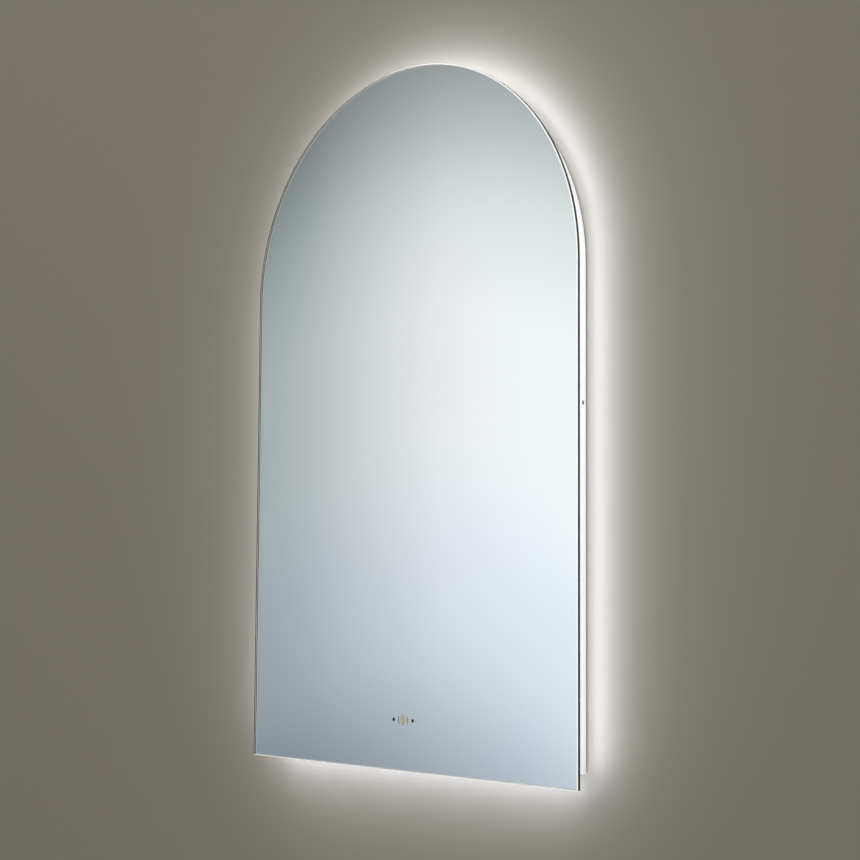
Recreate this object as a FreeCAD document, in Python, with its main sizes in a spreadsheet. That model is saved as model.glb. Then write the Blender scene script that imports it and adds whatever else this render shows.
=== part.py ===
"""Arched backlit bathroom mirror: one parametric document, one STEP file for each piece.

The frame is X across the mirror, Y into the wall and Z up, in millimetres. The origin is the middle of
the two fixing holes of the wall rail, on the wall's surface (Y = 0), so every piece lies at Y <= 0.
Heights in this file are given above the bottom edge of the glass, which is fix_height below the origin.
"""
import FreeCAD
import Part
import Sketcher
import math
import os

V = FreeCAD.Vector

# ---------------------------------------------------------------- driving sizes, mm and degrees

ARC_SHARE = 0.45    # the part of a lead's shorter run that an arc beside it takes up
NEAR = 0.01         # places this close, in mm, are the same place

SIZES = {
    # the glass, its silvering and the tape that bonds it to the frame
    "glass_width": 500, "glass_height": 800, "glass_thick": 5, "front_arris": 1, "rear_arris": 0.5,
    "corner_round": 1.5, "silver_thick": 0.25, "silver_margin": 0.8, "tape_thick": 1,
    "tape_wide": 17, "tape_margin": 2.5,
    # how the mirror stands on the wall
    "total_depth": 35, "wall_gap": 3, "overhang": 14, "fix_height": 520,
    # the frame's extruded section: channel for the light outside, channel for the leads inside
    "web_thick": 1.6, "band_thick": 1.8, "channel_wide": 12, "channel_deep": 6, "front_flange": 22,
    "rear_flange": 20, "ledge": 1, "side_hole_dia": 5.4, "side_hole_edge": 3.7,
    # the light
    "diffuser_thick": 1.6, "diffuser_clear": 0.1, "strip_wide": 8, "strip_thick": 0.4,
    "strip_end_gap": 10, "chip_long": 2.8, "chip_wide": 3.5, "chip_thick": 0.8, "chip_pitch": 25,
    # corner plates, and the screws that all these pieces take
    "plate_leg": 48, "plate_wide": 14, "plate_thick": 2, "plate_inset": 3.4, "plate_hole": 34,
    "screw_dia": 3, "screw_clear": 0.15,
    # hanging bar, wall rail and lower bar, all bent from the same sheet
    "sheet_thick": 1.6, "bend_inner": 0.8, "bar_plate": 16, "bar_end_gap": 1, "hook_stand": 2.2,
    "hook_long": 10.5, "rail_stand": 5, "rail_end_gap": 33, "rail_below": 9, "rail_above": 8,
    "rail_leaf": 12.4, "rail_hole_dia": 5.5, "rail_hole_pitch": 300, "bar_screw_inset": 11,
    "bar_screw_low": 4, "bar_screw_pitch": 8, "lower_height": 150, "lower_plate": 20,
    "lower_lip": 5, "bumper_dia": 14, "bumper_taper": 1, "bumper_end_gap": 40,
    # driver box
    "box_height": 285, "box_long": 190, "box_tall": 70, "box_deep": 21, "box_wall": 2,
    "box_round": 5, "lid_thick": 2, "lid_bevel": 0.8, "post_dia": 7, "post_inset": 6.5,
    "vent_count": 12, "vent_pitch": 6, "vent_wide": 2.4, "vent_tall": 22,
    "driver_long": 118, "driver_tall": 36, "driver_deep": 16, "driver_across": 22, "driver_bevel": 2,
    "terminal_long": 30, "terminal_tall": 16, "terminal_deep": 12, "terminal_across": -64,
    "terminal_ways": 3, "terminal_way_dia": 4,
    # cable gland
    "thread_dia": 12, "thread_long": 8, "gland_flats": 16, "gland_hex": 5, "gland_dome_dia": 14,
    "gland_dome": 8, "gland_bevel": 2, "gland_bore_dia": 6.6, "locknut_thick": 3,
    # touch controls
    "touch_height": 56.4, "touch_pitch": 29.5, "window_dia": 4, "slip_clear": 0.02,
    "touch_long": 74, "touch_tall": 24, "touch_deep": 10, "touch_wall": 1.5, "touch_round": 3,
    "touch_bevel": 1, "board_thick": 1.6, "board_gap": 0.5, "board_clear": 0.3, "plug_long": 12,
    "plug_tall": 6, "plug_deep": 5,
    # demister
    "pad_wide": 280, "pad_bottom": 352, "pad_rise": 100, "pad_thick": 0.4, "pad_round": 12,
    "tab_long": 24, "tab_tall": 14, "tab_deep": 6.8, "tab_bevel": 1,
    # leads and what holds them
    "lead_dia": 3.6, "lead_clear": 0.3, "lead_jog": 48, "sensor_lead_start": 18,
    "sensor_lead_end": 30, "grommet_dia": 7.4, "grommet_lip": 1.2, "clip_long": 10, "clip_wide": 12,
    "clip_base": 1.4, "clip_wall": 1.4, "clip_gap": 16,
}

doc = FreeCAD.newDocument("lighted_mirror")
sheet = doc.addObject("Spreadsheet::Sheet", "Sizes")
for row, (alias, value) in enumerate(SIZES.items(), start=1):
    sheet.set("A%d" % row, alias.replace("_", " "))
    sheet.set("B%d" % row, str(value))
    sheet.setAlias("B%d" % row, alias)
doc.recompute()

# ---------------------------------------------------------------- places worked out from the sizes

# depths, from the wall's surface (negative is towards the room)
GLASS_BACK = "(Sizes.glass_thick - Sizes.total_depth)"
SILVER_BACK = "(%s + Sizes.silver_thick)" % GLASS_BACK
FRAME_FRONT = "(%s + Sizes.tape_thick)" % SILVER_BACK
CHANNEL_FRONT = "(%s + Sizes.web_thick)" % FRAME_FRONT
CHANNEL_REAR = "(%s + Sizes.channel_wide)" % CHANNEL_FRONT
FLANGE_REAR = "(%s + Sizes.web_thick)" % CHANNEL_REAR
BAR_REAR = "(%s + Sizes.sheet_thick)" % FLANGE_REAR
CHANNEL_MIDDLE = "(%s + Sizes.channel_wide / 2)" % CHANNEL_FRONT
BOX_REAR = "(%s + Sizes.box_deep)" % FRAME_FRONT
LEAD_DEPTH = "(%s + Sizes.box_wall + Sizes.lead_dia / 2 + Sizes.lead_clear)" % FRAME_FRONT

# the frame's outline
SPRING = "(Sizes.glass_height - Sizes.glass_width / 2)"
FRAME_HALF = "(Sizes.glass_width / 2 - Sizes.overhang)"
FLOOR_INSET = "(Sizes.channel_deep + Sizes.web_thick)"

# heights above the glass's bottom edge
RAIL_WEB = "(Sizes.fix_height + Sizes.rail_above)"
LEAF_TIP = "(%s + Sizes.sheet_thick + Sizes.rail_leaf)" % RAIL_WEB
BAR_FOOT = "(%s + Sizes.sheet_thick)" % LEAF_TIP
BAR_TOP = "(%s + Sizes.bar_plate)" % BAR_FOOT
BOX_BOTTOM = "(Sizes.box_height - Sizes.box_tall / 2)"


def number(place):
    """The present value of an expression of the sheet's sizes."""
    return float(sheet.evalExpression(place))


def half_width(inset, height):
    """Half the frame's width at a height, on the line that lies inset inside its outer wall."""
    radius = "(%s - %s)" % (FRAME_HALF, inset)
    rise = "max(0; %s - %s)" % (height, SPRING)
    return "sqrt(%s * %s - %s * %s)" % (radius, radius, rise, rise)


BAR_HALF = "(%s - Sizes.bar_end_gap)" % half_width("Sizes.band_thick", BAR_TOP)
LOWER_HALF = "(%s - Sizes.band_thick - Sizes.bar_end_gap)" % FRAME_HALF

# ---------------------------------------------------------------- short forms for the document's features


def new_body(label, depth, across="0", height="0"):
    """A body whose own origin stands at a place across, in depth and above the glass's edge."""
    body = doc.addObject("PartDesign::Body", label)
    body.Label = label
    body.setExpression("Placement.Base.x", across)
    body.setExpression("Placement.Base.y", depth)
    body.setExpression("Placement.Base.z", "%s - Sizes.fix_height" % height)
    return body


def sketch_on(body, plane, name, lift=None):
    """A sketch on one of the body's own planes: XZ looks along the depth, XY down, YZ across."""
    sketch = body.newObject("Sketcher::SketchObject", name)
    support = [item for item in body.Origin.OriginFeatures if item.Role == plane + "_Plane"]
    sketch.AttachmentSupport = [(support[0], "")]
    sketch.MapMode = "FlatFace"
    if lift is not None:
        sketch.setExpression("AttachmentOffset.Base.z", lift)
    return sketch


def pin(sketch, edge, point, across, up, kinds=("DistanceX", "DistanceY")):
    """Bind one point of a sketch's edge to a place written in the sheet's sizes."""
    for kind, place in zip(("DistanceX", "DistanceY"), (across, up)):
        if kind in kinds:
            index = sketch.addConstraint(Sketcher.Constraint(kind, -1, 1, edge, point, number(place)))
            sketch.setExpression("Constraints[%d]" % index, place)


def outline(sketch, corners, arcs=None):
    """A closed outline through corners; arcs gives {side: centre} for anticlockwise round sides."""
    arcs = arcs or {}
    first = sketch.GeometryCount
    places = [V(number(across), number(up), 0) for across, up in corners]
    for side, start in enumerate(places):
        end = places[(side + 1) % len(places)]
        if side in arcs:
            middle = V(number(arcs[side][0]), number(arcs[side][1]), 0)
            angles = [math.atan2(p.y - middle.y, p.x - middle.x) for p in (start, end)]
            circle = Part.Circle(middle, V(0, 0, 1), (start - middle).Length)
            sketch.addGeometry(Part.ArcOfCircle(circle, *angles), False)
        else:
            sketch.addGeometry(Part.LineSegment(start, end), False)
    for side, (across, up) in enumerate(corners):
        edge = first + side
        following = first + (side + 1) % len(corners)
        sketch.addConstraint(Sketcher.Constraint("Coincident", edge, 2, following, 1))
        pin(sketch, edge, 1, across, up)
        if side in arcs:
            chord = places[(side + 1) % len(places)] - places[side]
            free = "DistanceY" if abs(chord.x) > abs(chord.y) else "DistanceX"
            pin(sketch, edge, 3, *arcs[side], kinds=(free,))


def rectangle(sketch, left, right, bottom, top):
    """A closed rectangle between four places."""
    outline(sketch, [(left, bottom), (right, bottom), (right, top), (left, top)])


def circle(sketch, across, up, diameter):
    """A full circle with a bound centre and diameter."""
    round_edge = Part.Circle(V(number(across), number(up), 0), V(0, 0, 1), number(diameter) / 2)
    edge = sketch.addGeometry(round_edge, False)
    pin(sketch, edge, 3, across, up)
    index = sketch.addConstraint(Sketcher.Constraint("Diameter", edge, number(diameter)))
    sketch.setExpression("Constraints[%d]" % index, diameter)


def arch(sketch, inset, bottom, spring):
    """The mirror's outline drawn in by an inset: a flat foot, two sides and a half circle on top."""
    half = "(Sizes.glass_width / 2 - %s)" % inset
    corners = [("-" + half, bottom), (half, bottom), (half, spring), ("-" + half, spring)]
    outline(sketch, corners, {2: ("0", spring)})


def extrude(body, sketch, length, both=False, backwards=False):
    """Pad a sketch along its plane's normal, or evenly to both sides."""
    pad = body.newObject("PartDesign::Pad", sketch.Name + "_pad")
    pad.Profile = sketch
    pad.setExpression("Length", length)
    pad.SideType = "Symmetric" if both else "One side"
    pad.Reversed = backwards
    doc.recompute()
    return pad


def cut(body, sketch, length=None, both=False, along_normal=False):
    """Pocket a sketch through everything or to a length, and make sure that it removes something."""
    before = body.Shape.Volume
    pocket = body.newObject("PartDesign::Pocket", sketch.Name + "_cut")
    pocket.Profile = sketch
    pocket.Type = "ThroughAll" if length is None else "Length"
    if length is not None:
        pocket.setExpression("Length", length)
    pocket.SideType = "Symmetric" if both else "One side"
    pocket.Reversed = along_normal
    doc.recompute()
    if not pocket.Shape.Volume < before:
        raise ValueError("%s removes nothing" % sketch.Name)
    return pocket


def edges_where(feature, test):
    """The names of a feature's edges that pass a test of the edge and its end points."""
    names = []
    for index, edge in enumerate(feature.Shape.Edges, start=1):
        points = [vertex.Point for vertex in edge.Vertexes]
        if test(edge, points):
            names.append("Edge%d" % index)
    return names


def soften(body, feature, test, amount, kind="Fillet"):
    """Round or chamfer the edges of a feature that pass a test."""
    dressing = body.newObject("PartDesign::" + kind, "%s_%s" % (feature.Name, kind.lower()))
    dressing.Base = (feature, edges_where(feature, test))
    dressing.setExpression("Radius" if kind == "Fillet" else "Size", amount)
    doc.recompute()
    return dressing


def near(value, place):
    """True where a coordinate is at a place."""
    return abs(value - number(place)) < NEAR


def runs_along(points, direction):
    """True for the two end points of an edge that runs along a direction."""
    return len(points) == 2 and (points[1] - points[0]).cross(direction).Length < NEAR


def deep_edge(edge, points):
    """True for the edges that run straight along the depth."""
    return runs_along(points, V(0, 1, 0))


def edges_at(axis, place):
    """A test for the edges that lie wholly at one place along an axis, Y or Z."""

    def test(edge, points):
        box = edge.BoundBox
        return near(getattr(box, axis + "Min"), place) and near(getattr(box, axis + "Max"), place)

    return test


def mirrored(body, features):
    """Repeat features on the other side of the mirror's centre plane."""
    copy = body.newObject("PartDesign::Mirrored", body.Name + "_mirrored")
    copy.Originals = features
    plane = [item for item in body.Origin.OriginFeatures if item.Role == "YZ_Plane"]
    copy.MirrorPlane = (plane[0], [""])
    body.Tip = copy
    doc.recompute()
    return copy


def group(label, solids, height="0"):
    """A node that is a set of equal pieces, set out by a loop from the sheet's sizes."""
    feature = doc.addObject("Part::Feature", label)
    feature.Label = label
    feature.Shape = Part.makeCompound(solids)
    feature.setExpression("Placement.Base.z", "%s - Sizes.fix_height" % height)
    return feature


# ---------------------------------------------------------------- glass, silvering and bonding tape


def mirror_glass():
    """Clear float glass with a half-round head, ground arrises and slightly eased lower corners."""
    body = new_body("mirror_glass", GLASS_BACK)
    sketch = sketch_on(body, "XZ", "glass_outline")
    arch(sketch, "0", "0", SPRING)
    pad = extrude(body, sketch, "Sizes.glass_thick")

    def lower_corner(edge, points):
        return deep_edge(edge, points) and near(points[0].z, "0")

    eased = soften(body, pad, lower_corner, "Sizes.corner_round")
    front = soften(body, eased, edges_at("Y", "-Sizes.glass_thick"), "Sizes.front_arris", "Chamfer")
    soften(body, front, edges_at("Y", "0"), "Sizes.rear_arris", "Chamfer")


def touch_places():
    """The two touch points, either side of the mirror's centre line."""
    return [(side + "Sizes.touch_pitch / 2", "Sizes.touch_height") for side in ("-", "")]


def mirror_silvering():
    """Silver and backing paint, stopped a little inside the glass, with a window at each touch point."""
    body = new_body("mirror_silvering", SILVER_BACK)
    sketch = sketch_on(body, "XZ", "silver_outline")
    arch(sketch, "Sizes.silver_margin", "Sizes.silver_margin", SPRING)
    for across, height in touch_places():
        circle(sketch, across, height, "Sizes.window_dia")
    extrude(body, sketch, "Sizes.silver_thick")


def sensor_windows():
    """Dark light guides that fill the windows and reach back to the touch board."""
    body = new_body("sensor_windows", "%s + Sizes.board_gap" % SILVER_BACK)
    sketch = sketch_on(body, "XZ", "window_fill")
    for across, height in touch_places():
        circle(sketch, across, height, "Sizes.window_dia - 2 * Sizes.slip_clear")
    extrude(body, sketch, "Sizes.silver_thick + Sizes.board_gap")


def frame_tape():
    """Foam bonding tape that follows the frame's front flange all the way round."""
    body = new_body("frame_tape", FRAME_FRONT)
    sketch = sketch_on(body, "XZ", "tape_outline")
    outer = "(Sizes.overhang + Sizes.tape_margin)"
    inner = "(Sizes.overhang + Sizes.tape_margin + Sizes.tape_wide)"
    arch(sketch, outer, outer, SPRING)
    arch(sketch, inner, inner, SPRING)
    extrude(body, sketch, "Sizes.tape_thick")


# ---------------------------------------------------------------- extruded frame


def frame_section():
    """The section's corners as (inset from the outer wall, depth behind the rear flange's back).

    The channel's mouth is wider than its floor, so that the opal strip rests on a ledge each side.
    """
    front = "-(2 * Sizes.web_thick + Sizes.channel_wide)"
    mouth_front = "-(Sizes.web_thick + Sizes.channel_wide)"
    mouth_rear = "-Sizes.web_thick"
    ledge = "(Sizes.diffuser_thick + Sizes.diffuser_clear)"
    ledge_front, ledge_rear = mouth_front + " + Sizes.ledge", mouth_rear + " - Sizes.ledge"
    band_end = "-%s - Sizes.wall_gap" % FLANGE_REAR
    return [
        ("0", band_end), ("0", mouth_rear), (ledge, mouth_rear), (ledge, ledge_rear),
        ("Sizes.channel_deep", ledge_rear), ("Sizes.channel_deep", ledge_front),
        (ledge, ledge_front), (ledge, mouth_front), ("0", mouth_front), ("0", front),
        ("Sizes.front_flange", front),
        ("Sizes.front_flange", mouth_front), (FLOOR_INSET, mouth_front), (FLOOR_INSET, mouth_rear),
        ("Sizes.rear_flange", mouth_rear), ("Sizes.rear_flange", "0"), ("Sizes.band_thick", "0"),
        ("Sizes.band_thick", band_end),
    ]


def bend_round_arch(body, profile):
    """Sweep a section up one leg, over the arch and down the other leg of the frame's outer wall."""
    leg = "(%s - Sizes.overhang)" % SPRING
    path = sketch_on(body, "XZ", body.Name + "_path")
    half, rise = number(FRAME_HALF), number(leg)
    path.addGeometry(Part.LineSegment(V(half, 0, 0), V(half, rise, 0)), False)
    crown = Part.Circle(V(0, rise, 0), V(0, 0, 1), half)
    path.addGeometry(Part.ArcOfCircle(crown, 0, math.pi), False)
    path.addGeometry(Part.LineSegment(V(-half, rise, 0), V(-half, 0, 0)), False)
    path.addConstraint(Sketcher.Constraint("Coincident", 0, 2, 1, 1))
    path.addConstraint(Sketcher.Constraint("Coincident", 1, 2, 2, 1))
    pin(path, 0, 1, FRAME_HALF, "0")
    pin(path, 0, 2, FRAME_HALF, leg)
    pin(path, 1, 3, "0", leg, kinds=("DistanceY",))
    pin(path, 2, 1, "-" + FRAME_HALF, leg)
    pin(path, 2, 2, "-" + FRAME_HALF, "0")
    pipe = body.newObject("PartDesign::AdditivePipe", body.Name + "_sweep")
    pipe.Profile = profile
    pipe.Spine = (path, ["Edge1", "Edge2", "Edge3"])
    doc.recompute()
    return pipe


def mitre(body, reach, keep_upright):
    """Cut both lower corners at 45 degrees, for a leg (keep_upright) or for the straight foot."""
    spare = "Sizes.web_thick"
    far = "(%s - (%s))" % (FRAME_HALF, reach)
    for side in ("", "-"):
        sketch = sketch_on(body, "XZ", "%s_mitre_%s" % (body.Name, "left" if side else "right"))
        corner, tip = (side + FRAME_HALF, "0"), (side + far, reach)
        if keep_upright:
            corners = [corner, tip, (side + far, "-" + spare), (side + FRAME_HALF, "-" + spare)]
        else:
            outside = "%s(%s + %s)" % (side, FRAME_HALF, spare)
            corners = [corner, tip, (outside, reach), (outside, "0")]
        outline(sketch, corners)
        cut(body, sketch, both=True)


def straight_foot(body, section):
    """Draw a section of (inset, depth) corners on the side plane and run it the frame's full width."""
    sketch = sketch_on(body, "YZ", body.Name + "_section")
    outline(sketch, [(depth, inset) for inset, depth in section])
    extrude(body, sketch, "2 * " + FRAME_HALF, both=True)


def swept_arch(body, section):
    """Draw a section of (inset, depth) corners at the leg's foot and bend it round the arch."""
    profile = sketch_on(body, "XY", body.Name + "_section")
    outline(profile, [("%s - (%s)" % (FRAME_HALF, inset), depth) for inset, depth in section])
    bend_round_arch(body, profile)


def plate_holes():
    """The right corner plate's screw places: one on the leg, then one on the foot."""
    middle = "(Sizes.overhang + Sizes.plate_inset + Sizes.plate_wide / 2)"
    reach = "(Sizes.overhang + Sizes.plate_inset + Sizes.plate_hole)"
    return [("(Sizes.glass_width / 2 - %s)" % middle, reach),
            ("(Sizes.glass_width / 2 - %s)" % reach, middle)]


def bar_holes():
    """The hanging bar's screw places, on the middle line of the rear flange, on the right side."""
    places = []
    for step in ("0", "Sizes.bar_screw_pitch"):
        height = "(%s + Sizes.bar_screw_low + %s)" % (BAR_FOOT, step)
        places.append((half_width("Sizes.bar_screw_inset", height), height))
    return places


def lower_holes():
    """The lower bar's screw place on the right side."""
    return [(half_width("Sizes.bar_screw_inset", "Sizes.lower_height"), "Sizes.lower_height")]


def both_sides(places):
    """Places on the right side followed by the same on the left."""
    return places + [("-" + across, height) for across, height in places]


def pilot_holes(body, name, places):
    """Screw holes through the rear flange only; places are heights above the glass's edge."""
    sketch = sketch_on(body, "XZ", name)
    for across, height in places:
        circle(sketch, across, "%s - Sizes.overhang" % height, "Sizes.screw_dia + 2 * Sizes.screw_clear")
    cut(body, sketch, "Sizes.web_thick + Sizes.ledge", along_normal=True)


def frame_arch():
    """One length of the profile bent round the arch, with mitred feet and its holes."""
    body = new_body("frame_arch", FLANGE_REAR, height="Sizes.overhang")
    swept_arch(body, frame_section())
    mitre(body, "(Sizes.front_flange + Sizes.web_thick)", keep_upright=True)
    on_leg = plate_holes()[0]
    pilot_holes(body, "arch_pilots", both_sides([on_leg] + bar_holes() + lower_holes()))
    side = sketch_on(body, "YZ", "side_hole")
    circle(side, "-%s - Sizes.wall_gap - Sizes.side_hole_edge" % FLANGE_REAR,
           "Sizes.glass_height / 2 - Sizes.overhang", "Sizes.side_hole_dia")
    cut(body, side, both=True)
    lead = sketch_on(body, "YZ", "lead_hole")
    circle(lead, "-(Sizes.web_thick + Sizes.channel_wide / 2)", "Sizes.box_height - Sizes.overhang",
           "Sizes.lead_dia + Sizes.grommet_lip")
    cut(body, lead, along_normal=True)


def frame_bottom():
    """The straight foot of the frame, mitred to the legs."""
    body = new_body("frame_bottom", FLANGE_REAR, height="Sizes.overhang")
    straight_foot(body, frame_section())
    mitre(body, "(Sizes.front_flange + Sizes.web_thick)", keep_upright=False)
    on_foot = plate_holes()[1]
    pilot_holes(body, "foot_pilots", both_sides([on_foot]))


def corner_plates():
    """Two steel corner plates on the back of the rear flanges, across the mitres."""
    body = new_body("corner_plates", "%s + Sizes.plate_thick" % FLANGE_REAR)
    sketch = sketch_on(body, "XZ", "plate_outline")
    near_in = "(Sizes.overhang + Sizes.plate_inset)"
    wide_in = "(%s + Sizes.plate_wide)" % near_in
    leg_in = "(%s + Sizes.plate_leg)" % near_in
    right = "(Sizes.glass_width / 2 - %s)"
    outline(sketch, [(right % near_in, near_in), (right % near_in, leg_in), (right % wide_in, leg_in),
                     (right % wide_in, wide_in), (right % leg_in, wide_in), (right % leg_in, near_in)])
    for across, height in plate_holes():
        circle(sketch, across, height, "Sizes.screw_dia + 2 * Sizes.screw_clear")
    mirrored(body, [extrude(body, sketch, "Sizes.plate_thick")])


# ---------------------------------------------------------------- light


def diffuser_section():
    """The opal strip's section, in the mouth of the channel and flush with the outer wall."""
    front = "-(Sizes.web_thick + Sizes.channel_wide - Sizes.diffuser_clear)"
    rear = "-(Sizes.web_thick + Sizes.diffuser_clear)"
    return [("0", rear), ("Sizes.diffuser_thick", rear), ("Sizes.diffuser_thick", front), ("0", front)]


def diffusers():
    """The opal strip, one length bent round the arch and one along the foot, mitred together."""
    body = new_body("diffuser_arch", FLANGE_REAR, height="Sizes.overhang")
    swept_arch(body, diffuser_section())
    mitre(body, "(Sizes.diffuser_thick + Sizes.web_thick)", keep_upright=True)
    body = new_body("diffuser_bottom", FLANGE_REAR, height="Sizes.overhang")
    straight_foot(body, diffuser_section())
    mitre(body, "(Sizes.diffuser_thick + Sizes.web_thick)", keep_upright=False)


def strip_section():
    """The flexible circuit's section, on the floor of the channel."""
    middle = "-(Sizes.web_thick + Sizes.channel_wide / 2)"
    front, rear = "%s - Sizes.strip_wide / 2" % middle, "%s + Sizes.strip_wide / 2" % middle
    top, floor = "(Sizes.channel_deep - Sizes.strip_thick)", "Sizes.channel_deep"
    return [(top, rear), (floor, rear), (floor, front), (top, front)]


def led_strips():
    """The flexible circuits: one round the arch and one along the foot, short of the corners."""
    body = new_body("led_strip_arch", FLANGE_REAR, height="Sizes.overhang")
    swept_arch(body, strip_section())
    ends = sketch_on(body, "XZ", "strip_ends")
    rectangle(ends, "-" + FRAME_HALF, FRAME_HALF, "-Sizes.web_thick",
              "Sizes.channel_deep + Sizes.strip_end_gap")
    cut(body, ends, both=True)
    body = new_body("led_strip_bottom", FLANGE_REAR, height="Sizes.overhang")
    sketch = sketch_on(body, "YZ", "strip_foot_section")
    outline(sketch, [(depth, inset) for inset, depth in strip_section()])
    extrude(body, sketch, "2 * (%s - Sizes.channel_deep - Sizes.strip_end_gap)" % FRAME_HALF, both=True)


def chip(place, outwards):
    """One lamp on the strip: a small block that stands at a place and shines outwards."""
    long, wide, thick = (number("Sizes.chip_" + word) for word in ("long", "wide", "thick"))
    block = Part.makeBox(thick, wide, long, V(0, -wide / 2, -long / 2))
    turn = FreeCAD.Rotation(V(1, 0, 0), outwards)
    block.Placement = FreeCAD.Placement(place, turn)
    return block


def led_chips():
    """The lamps at even steps along the legs and the arch, and along the foot."""
    seat = number("%s - Sizes.channel_deep + Sizes.strip_thick" % FRAME_HALF)
    pitch, depth, spring = (number(place) for place in ("Sizes.chip_pitch", CHANNEL_MIDDLE, SPRING))
    start = number("Sizes.overhang + Sizes.channel_deep + Sizes.strip_end_gap + Sizes.chip_pitch / 2")
    leg_count = int((spring - start) / pitch)
    arch_count = int(math.pi * seat / pitch)
    solids = []
    for step in range(leg_count):
        height = start + step * pitch
        solids.append(chip(V(seat, depth, height), V(1, 0, 0)))
        solids.append(chip(V(-seat, depth, height), V(-1, 0, 0)))
    for step in range(arch_count):
        angle = math.pi * (step + 0.5) / arch_count
        outwards = V(math.cos(angle), 0, math.sin(angle))
        solids.append(chip(outwards * seat + V(0, depth, spring), outwards))
    group("led_chips_arch", solids)
    floor = number("Sizes.overhang + Sizes.channel_deep - Sizes.strip_thick")
    reach = number("%s - Sizes.channel_deep - Sizes.strip_end_gap" % FRAME_HALF)
    foot_count = int(2 * reach / pitch)
    foot = [chip(V((step + 0.5 - foot_count / 2) * pitch, depth, floor), V(0, 0, -1))
            for step in range(foot_count)]
    group("led_chips_bottom", foot)


# ---------------------------------------------------------------- hanging bar, wall rail, lower bar


def bent_sheet(body, corners, bends, half_length):
    """A sheet section on the side plane, run evenly both ways, with its bends rounded.

    bends are (depth, height, outer) corners; outer ones take the sheet's thickness more radius.
    """
    sketch = sketch_on(body, "YZ", body.Name + "_section")
    outline(sketch, corners)
    feature = extrude(body, sketch, "2 * " + half_length, both=True)
    for outer in (False, True):
        spots = [(depth, height) for depth, height, is_outer in bends if is_outer == outer]
        radius = "Sizes.bend_inner" + (" + Sizes.sheet_thick" if outer else "")

        def at_bend(edge, points, spots=spots):
            return runs_along(points, V(1, 0, 0)) and any(
                near(points[0].y, depth) and near(points[0].z, height) for depth, height in spots)

        feature = soften(body, feature, at_bend, radius)
    return feature


def wall_rail():
    """The rail that is screwed to the wall: a plate, a step and a leaf that points up."""
    body = new_body("wall_rail", "0", height="Sizes.fix_height")
    foot, web = "-Sizes.rail_below", "Sizes.rail_above"
    top, tip = "(%s + Sizes.sheet_thick)" % web, "(%s + Sizes.sheet_thick + Sizes.rail_leaf)" % web
    plate, leaf = "-Sizes.sheet_thick", "-Sizes.rail_stand"
    front = "-(Sizes.rail_stand + Sizes.sheet_thick)"
    corners = [("0", foot), ("0", top), (leaf, top), (leaf, tip), (front, tip), (front, web),
               (plate, web), (plate, foot)]
    bends = [("0", top, True), (plate, web, False), (leaf, top, False), (front, web, True)]
    bent_sheet(body, corners, bends, "(%s - Sizes.rail_end_gap)" % BAR_HALF)
    holes = sketch_on(body, "XZ", "rail_holes")
    for side in ("-", ""):
        circle(holes, side + "Sizes.rail_hole_pitch / 2", "0", "Sizes.rail_hole_dia")
    cut(body, holes, along_normal=True)


def hanging_bar():
    """The bar that carries the mirror: a plate on the frame, a step and a hook that points down."""
    body = new_body("hanging_bar", FLANGE_REAR, height=LEAF_TIP)
    foot, top = "Sizes.sheet_thick", "(Sizes.sheet_thick + Sizes.bar_plate)"
    plate = "Sizes.sheet_thick"
    back = "(-%s - Sizes.hook_stand)" % FLANGE_REAR
    hook = "(%s - Sizes.sheet_thick)" % back
    corners = [("0", "0"), (hook, "0"), (hook, "-Sizes.hook_long"), (back, "-Sizes.hook_long"),
               (back, foot), (plate, foot), (plate, top), ("0", top)]
    bends = [("0", "0", True), (hook, "0", False), (back, foot, True), (plate, foot, False)]
    bent_sheet(body, corners, bends, BAR_HALF)
    holes = sketch_on(body, "XZ", "bar_holes")
    for across, height in both_sides(bar_holes()):
        circle(holes, across, "%s - %s" % (height, LEAF_TIP), "Sizes.screw_dia + 2 * Sizes.screw_clear")
    cut(body, holes, "2 * Sizes.sheet_thick")


def lower_bar():
    """A flat cross bar with one stiffening lip, which carries the rubber feet."""
    body = new_body("lower_bar", FLANGE_REAR, height="Sizes.lower_height")
    plate, lip = "Sizes.sheet_thick", "(Sizes.sheet_thick + Sizes.lower_lip)"
    low, high = "-Sizes.lower_plate / 2", "Sizes.lower_plate / 2"
    under = "(Sizes.lower_plate / 2 - Sizes.sheet_thick)"
    corners = [("0", low), (plate, low), (plate, under), (lip, under), (lip, high), ("0", high)]
    bends = [("0", high, True), (plate, under, False)]
    bent_sheet(body, corners, bends, LOWER_HALF)
    holes = sketch_on(body, "XZ", "lower_bar_holes")
    for across, height in both_sides(lower_holes()):
        circle(holes, across, "%s - Sizes.lower_height" % height, "Sizes.screw_dia + 2 * Sizes.screw_clear")
    cut(body, holes, "2 * Sizes.sheet_thick")


def rear_bumpers():
    """Two rubber feet that stand on the lower bar and rest against the wall."""
    body = new_body("rear_bumpers", "0", height="Sizes.lower_height - Sizes.sheet_thick / 2")
    profile = sketch_on(body, "XY", "bumper_half")
    middle = "(%s - Sizes.bumper_end_gap)" % LOWER_HALF
    base = "(%s + Sizes.bumper_dia / 2)" % middle
    face = "(%s - Sizes.bumper_taper)" % base
    outline(profile, [(middle, BAR_REAR), (base, BAR_REAR), (face, "0"), (middle, "0")])
    turned = body.newObject("PartDesign::Revolution", "bumper_turned")
    turned.Profile = profile
    turned.ReferenceAxis = (profile, ["Edge4"])
    turned.Angle = 360
    doc.recompute()
    mirrored(body, [turned])


# ---------------------------------------------------------------- driver box and what it holds


def box_corners(sketch, grow="0"):
    """The driver box's rectangle, centred on the body's origin."""
    half_long = "(Sizes.box_long / 2 - %s)" % grow
    half_tall = "(Sizes.box_tall / 2 - %s)" % grow
    rectangle(sketch, "-" + half_long, half_long, "-" + half_tall, half_tall)


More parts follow.
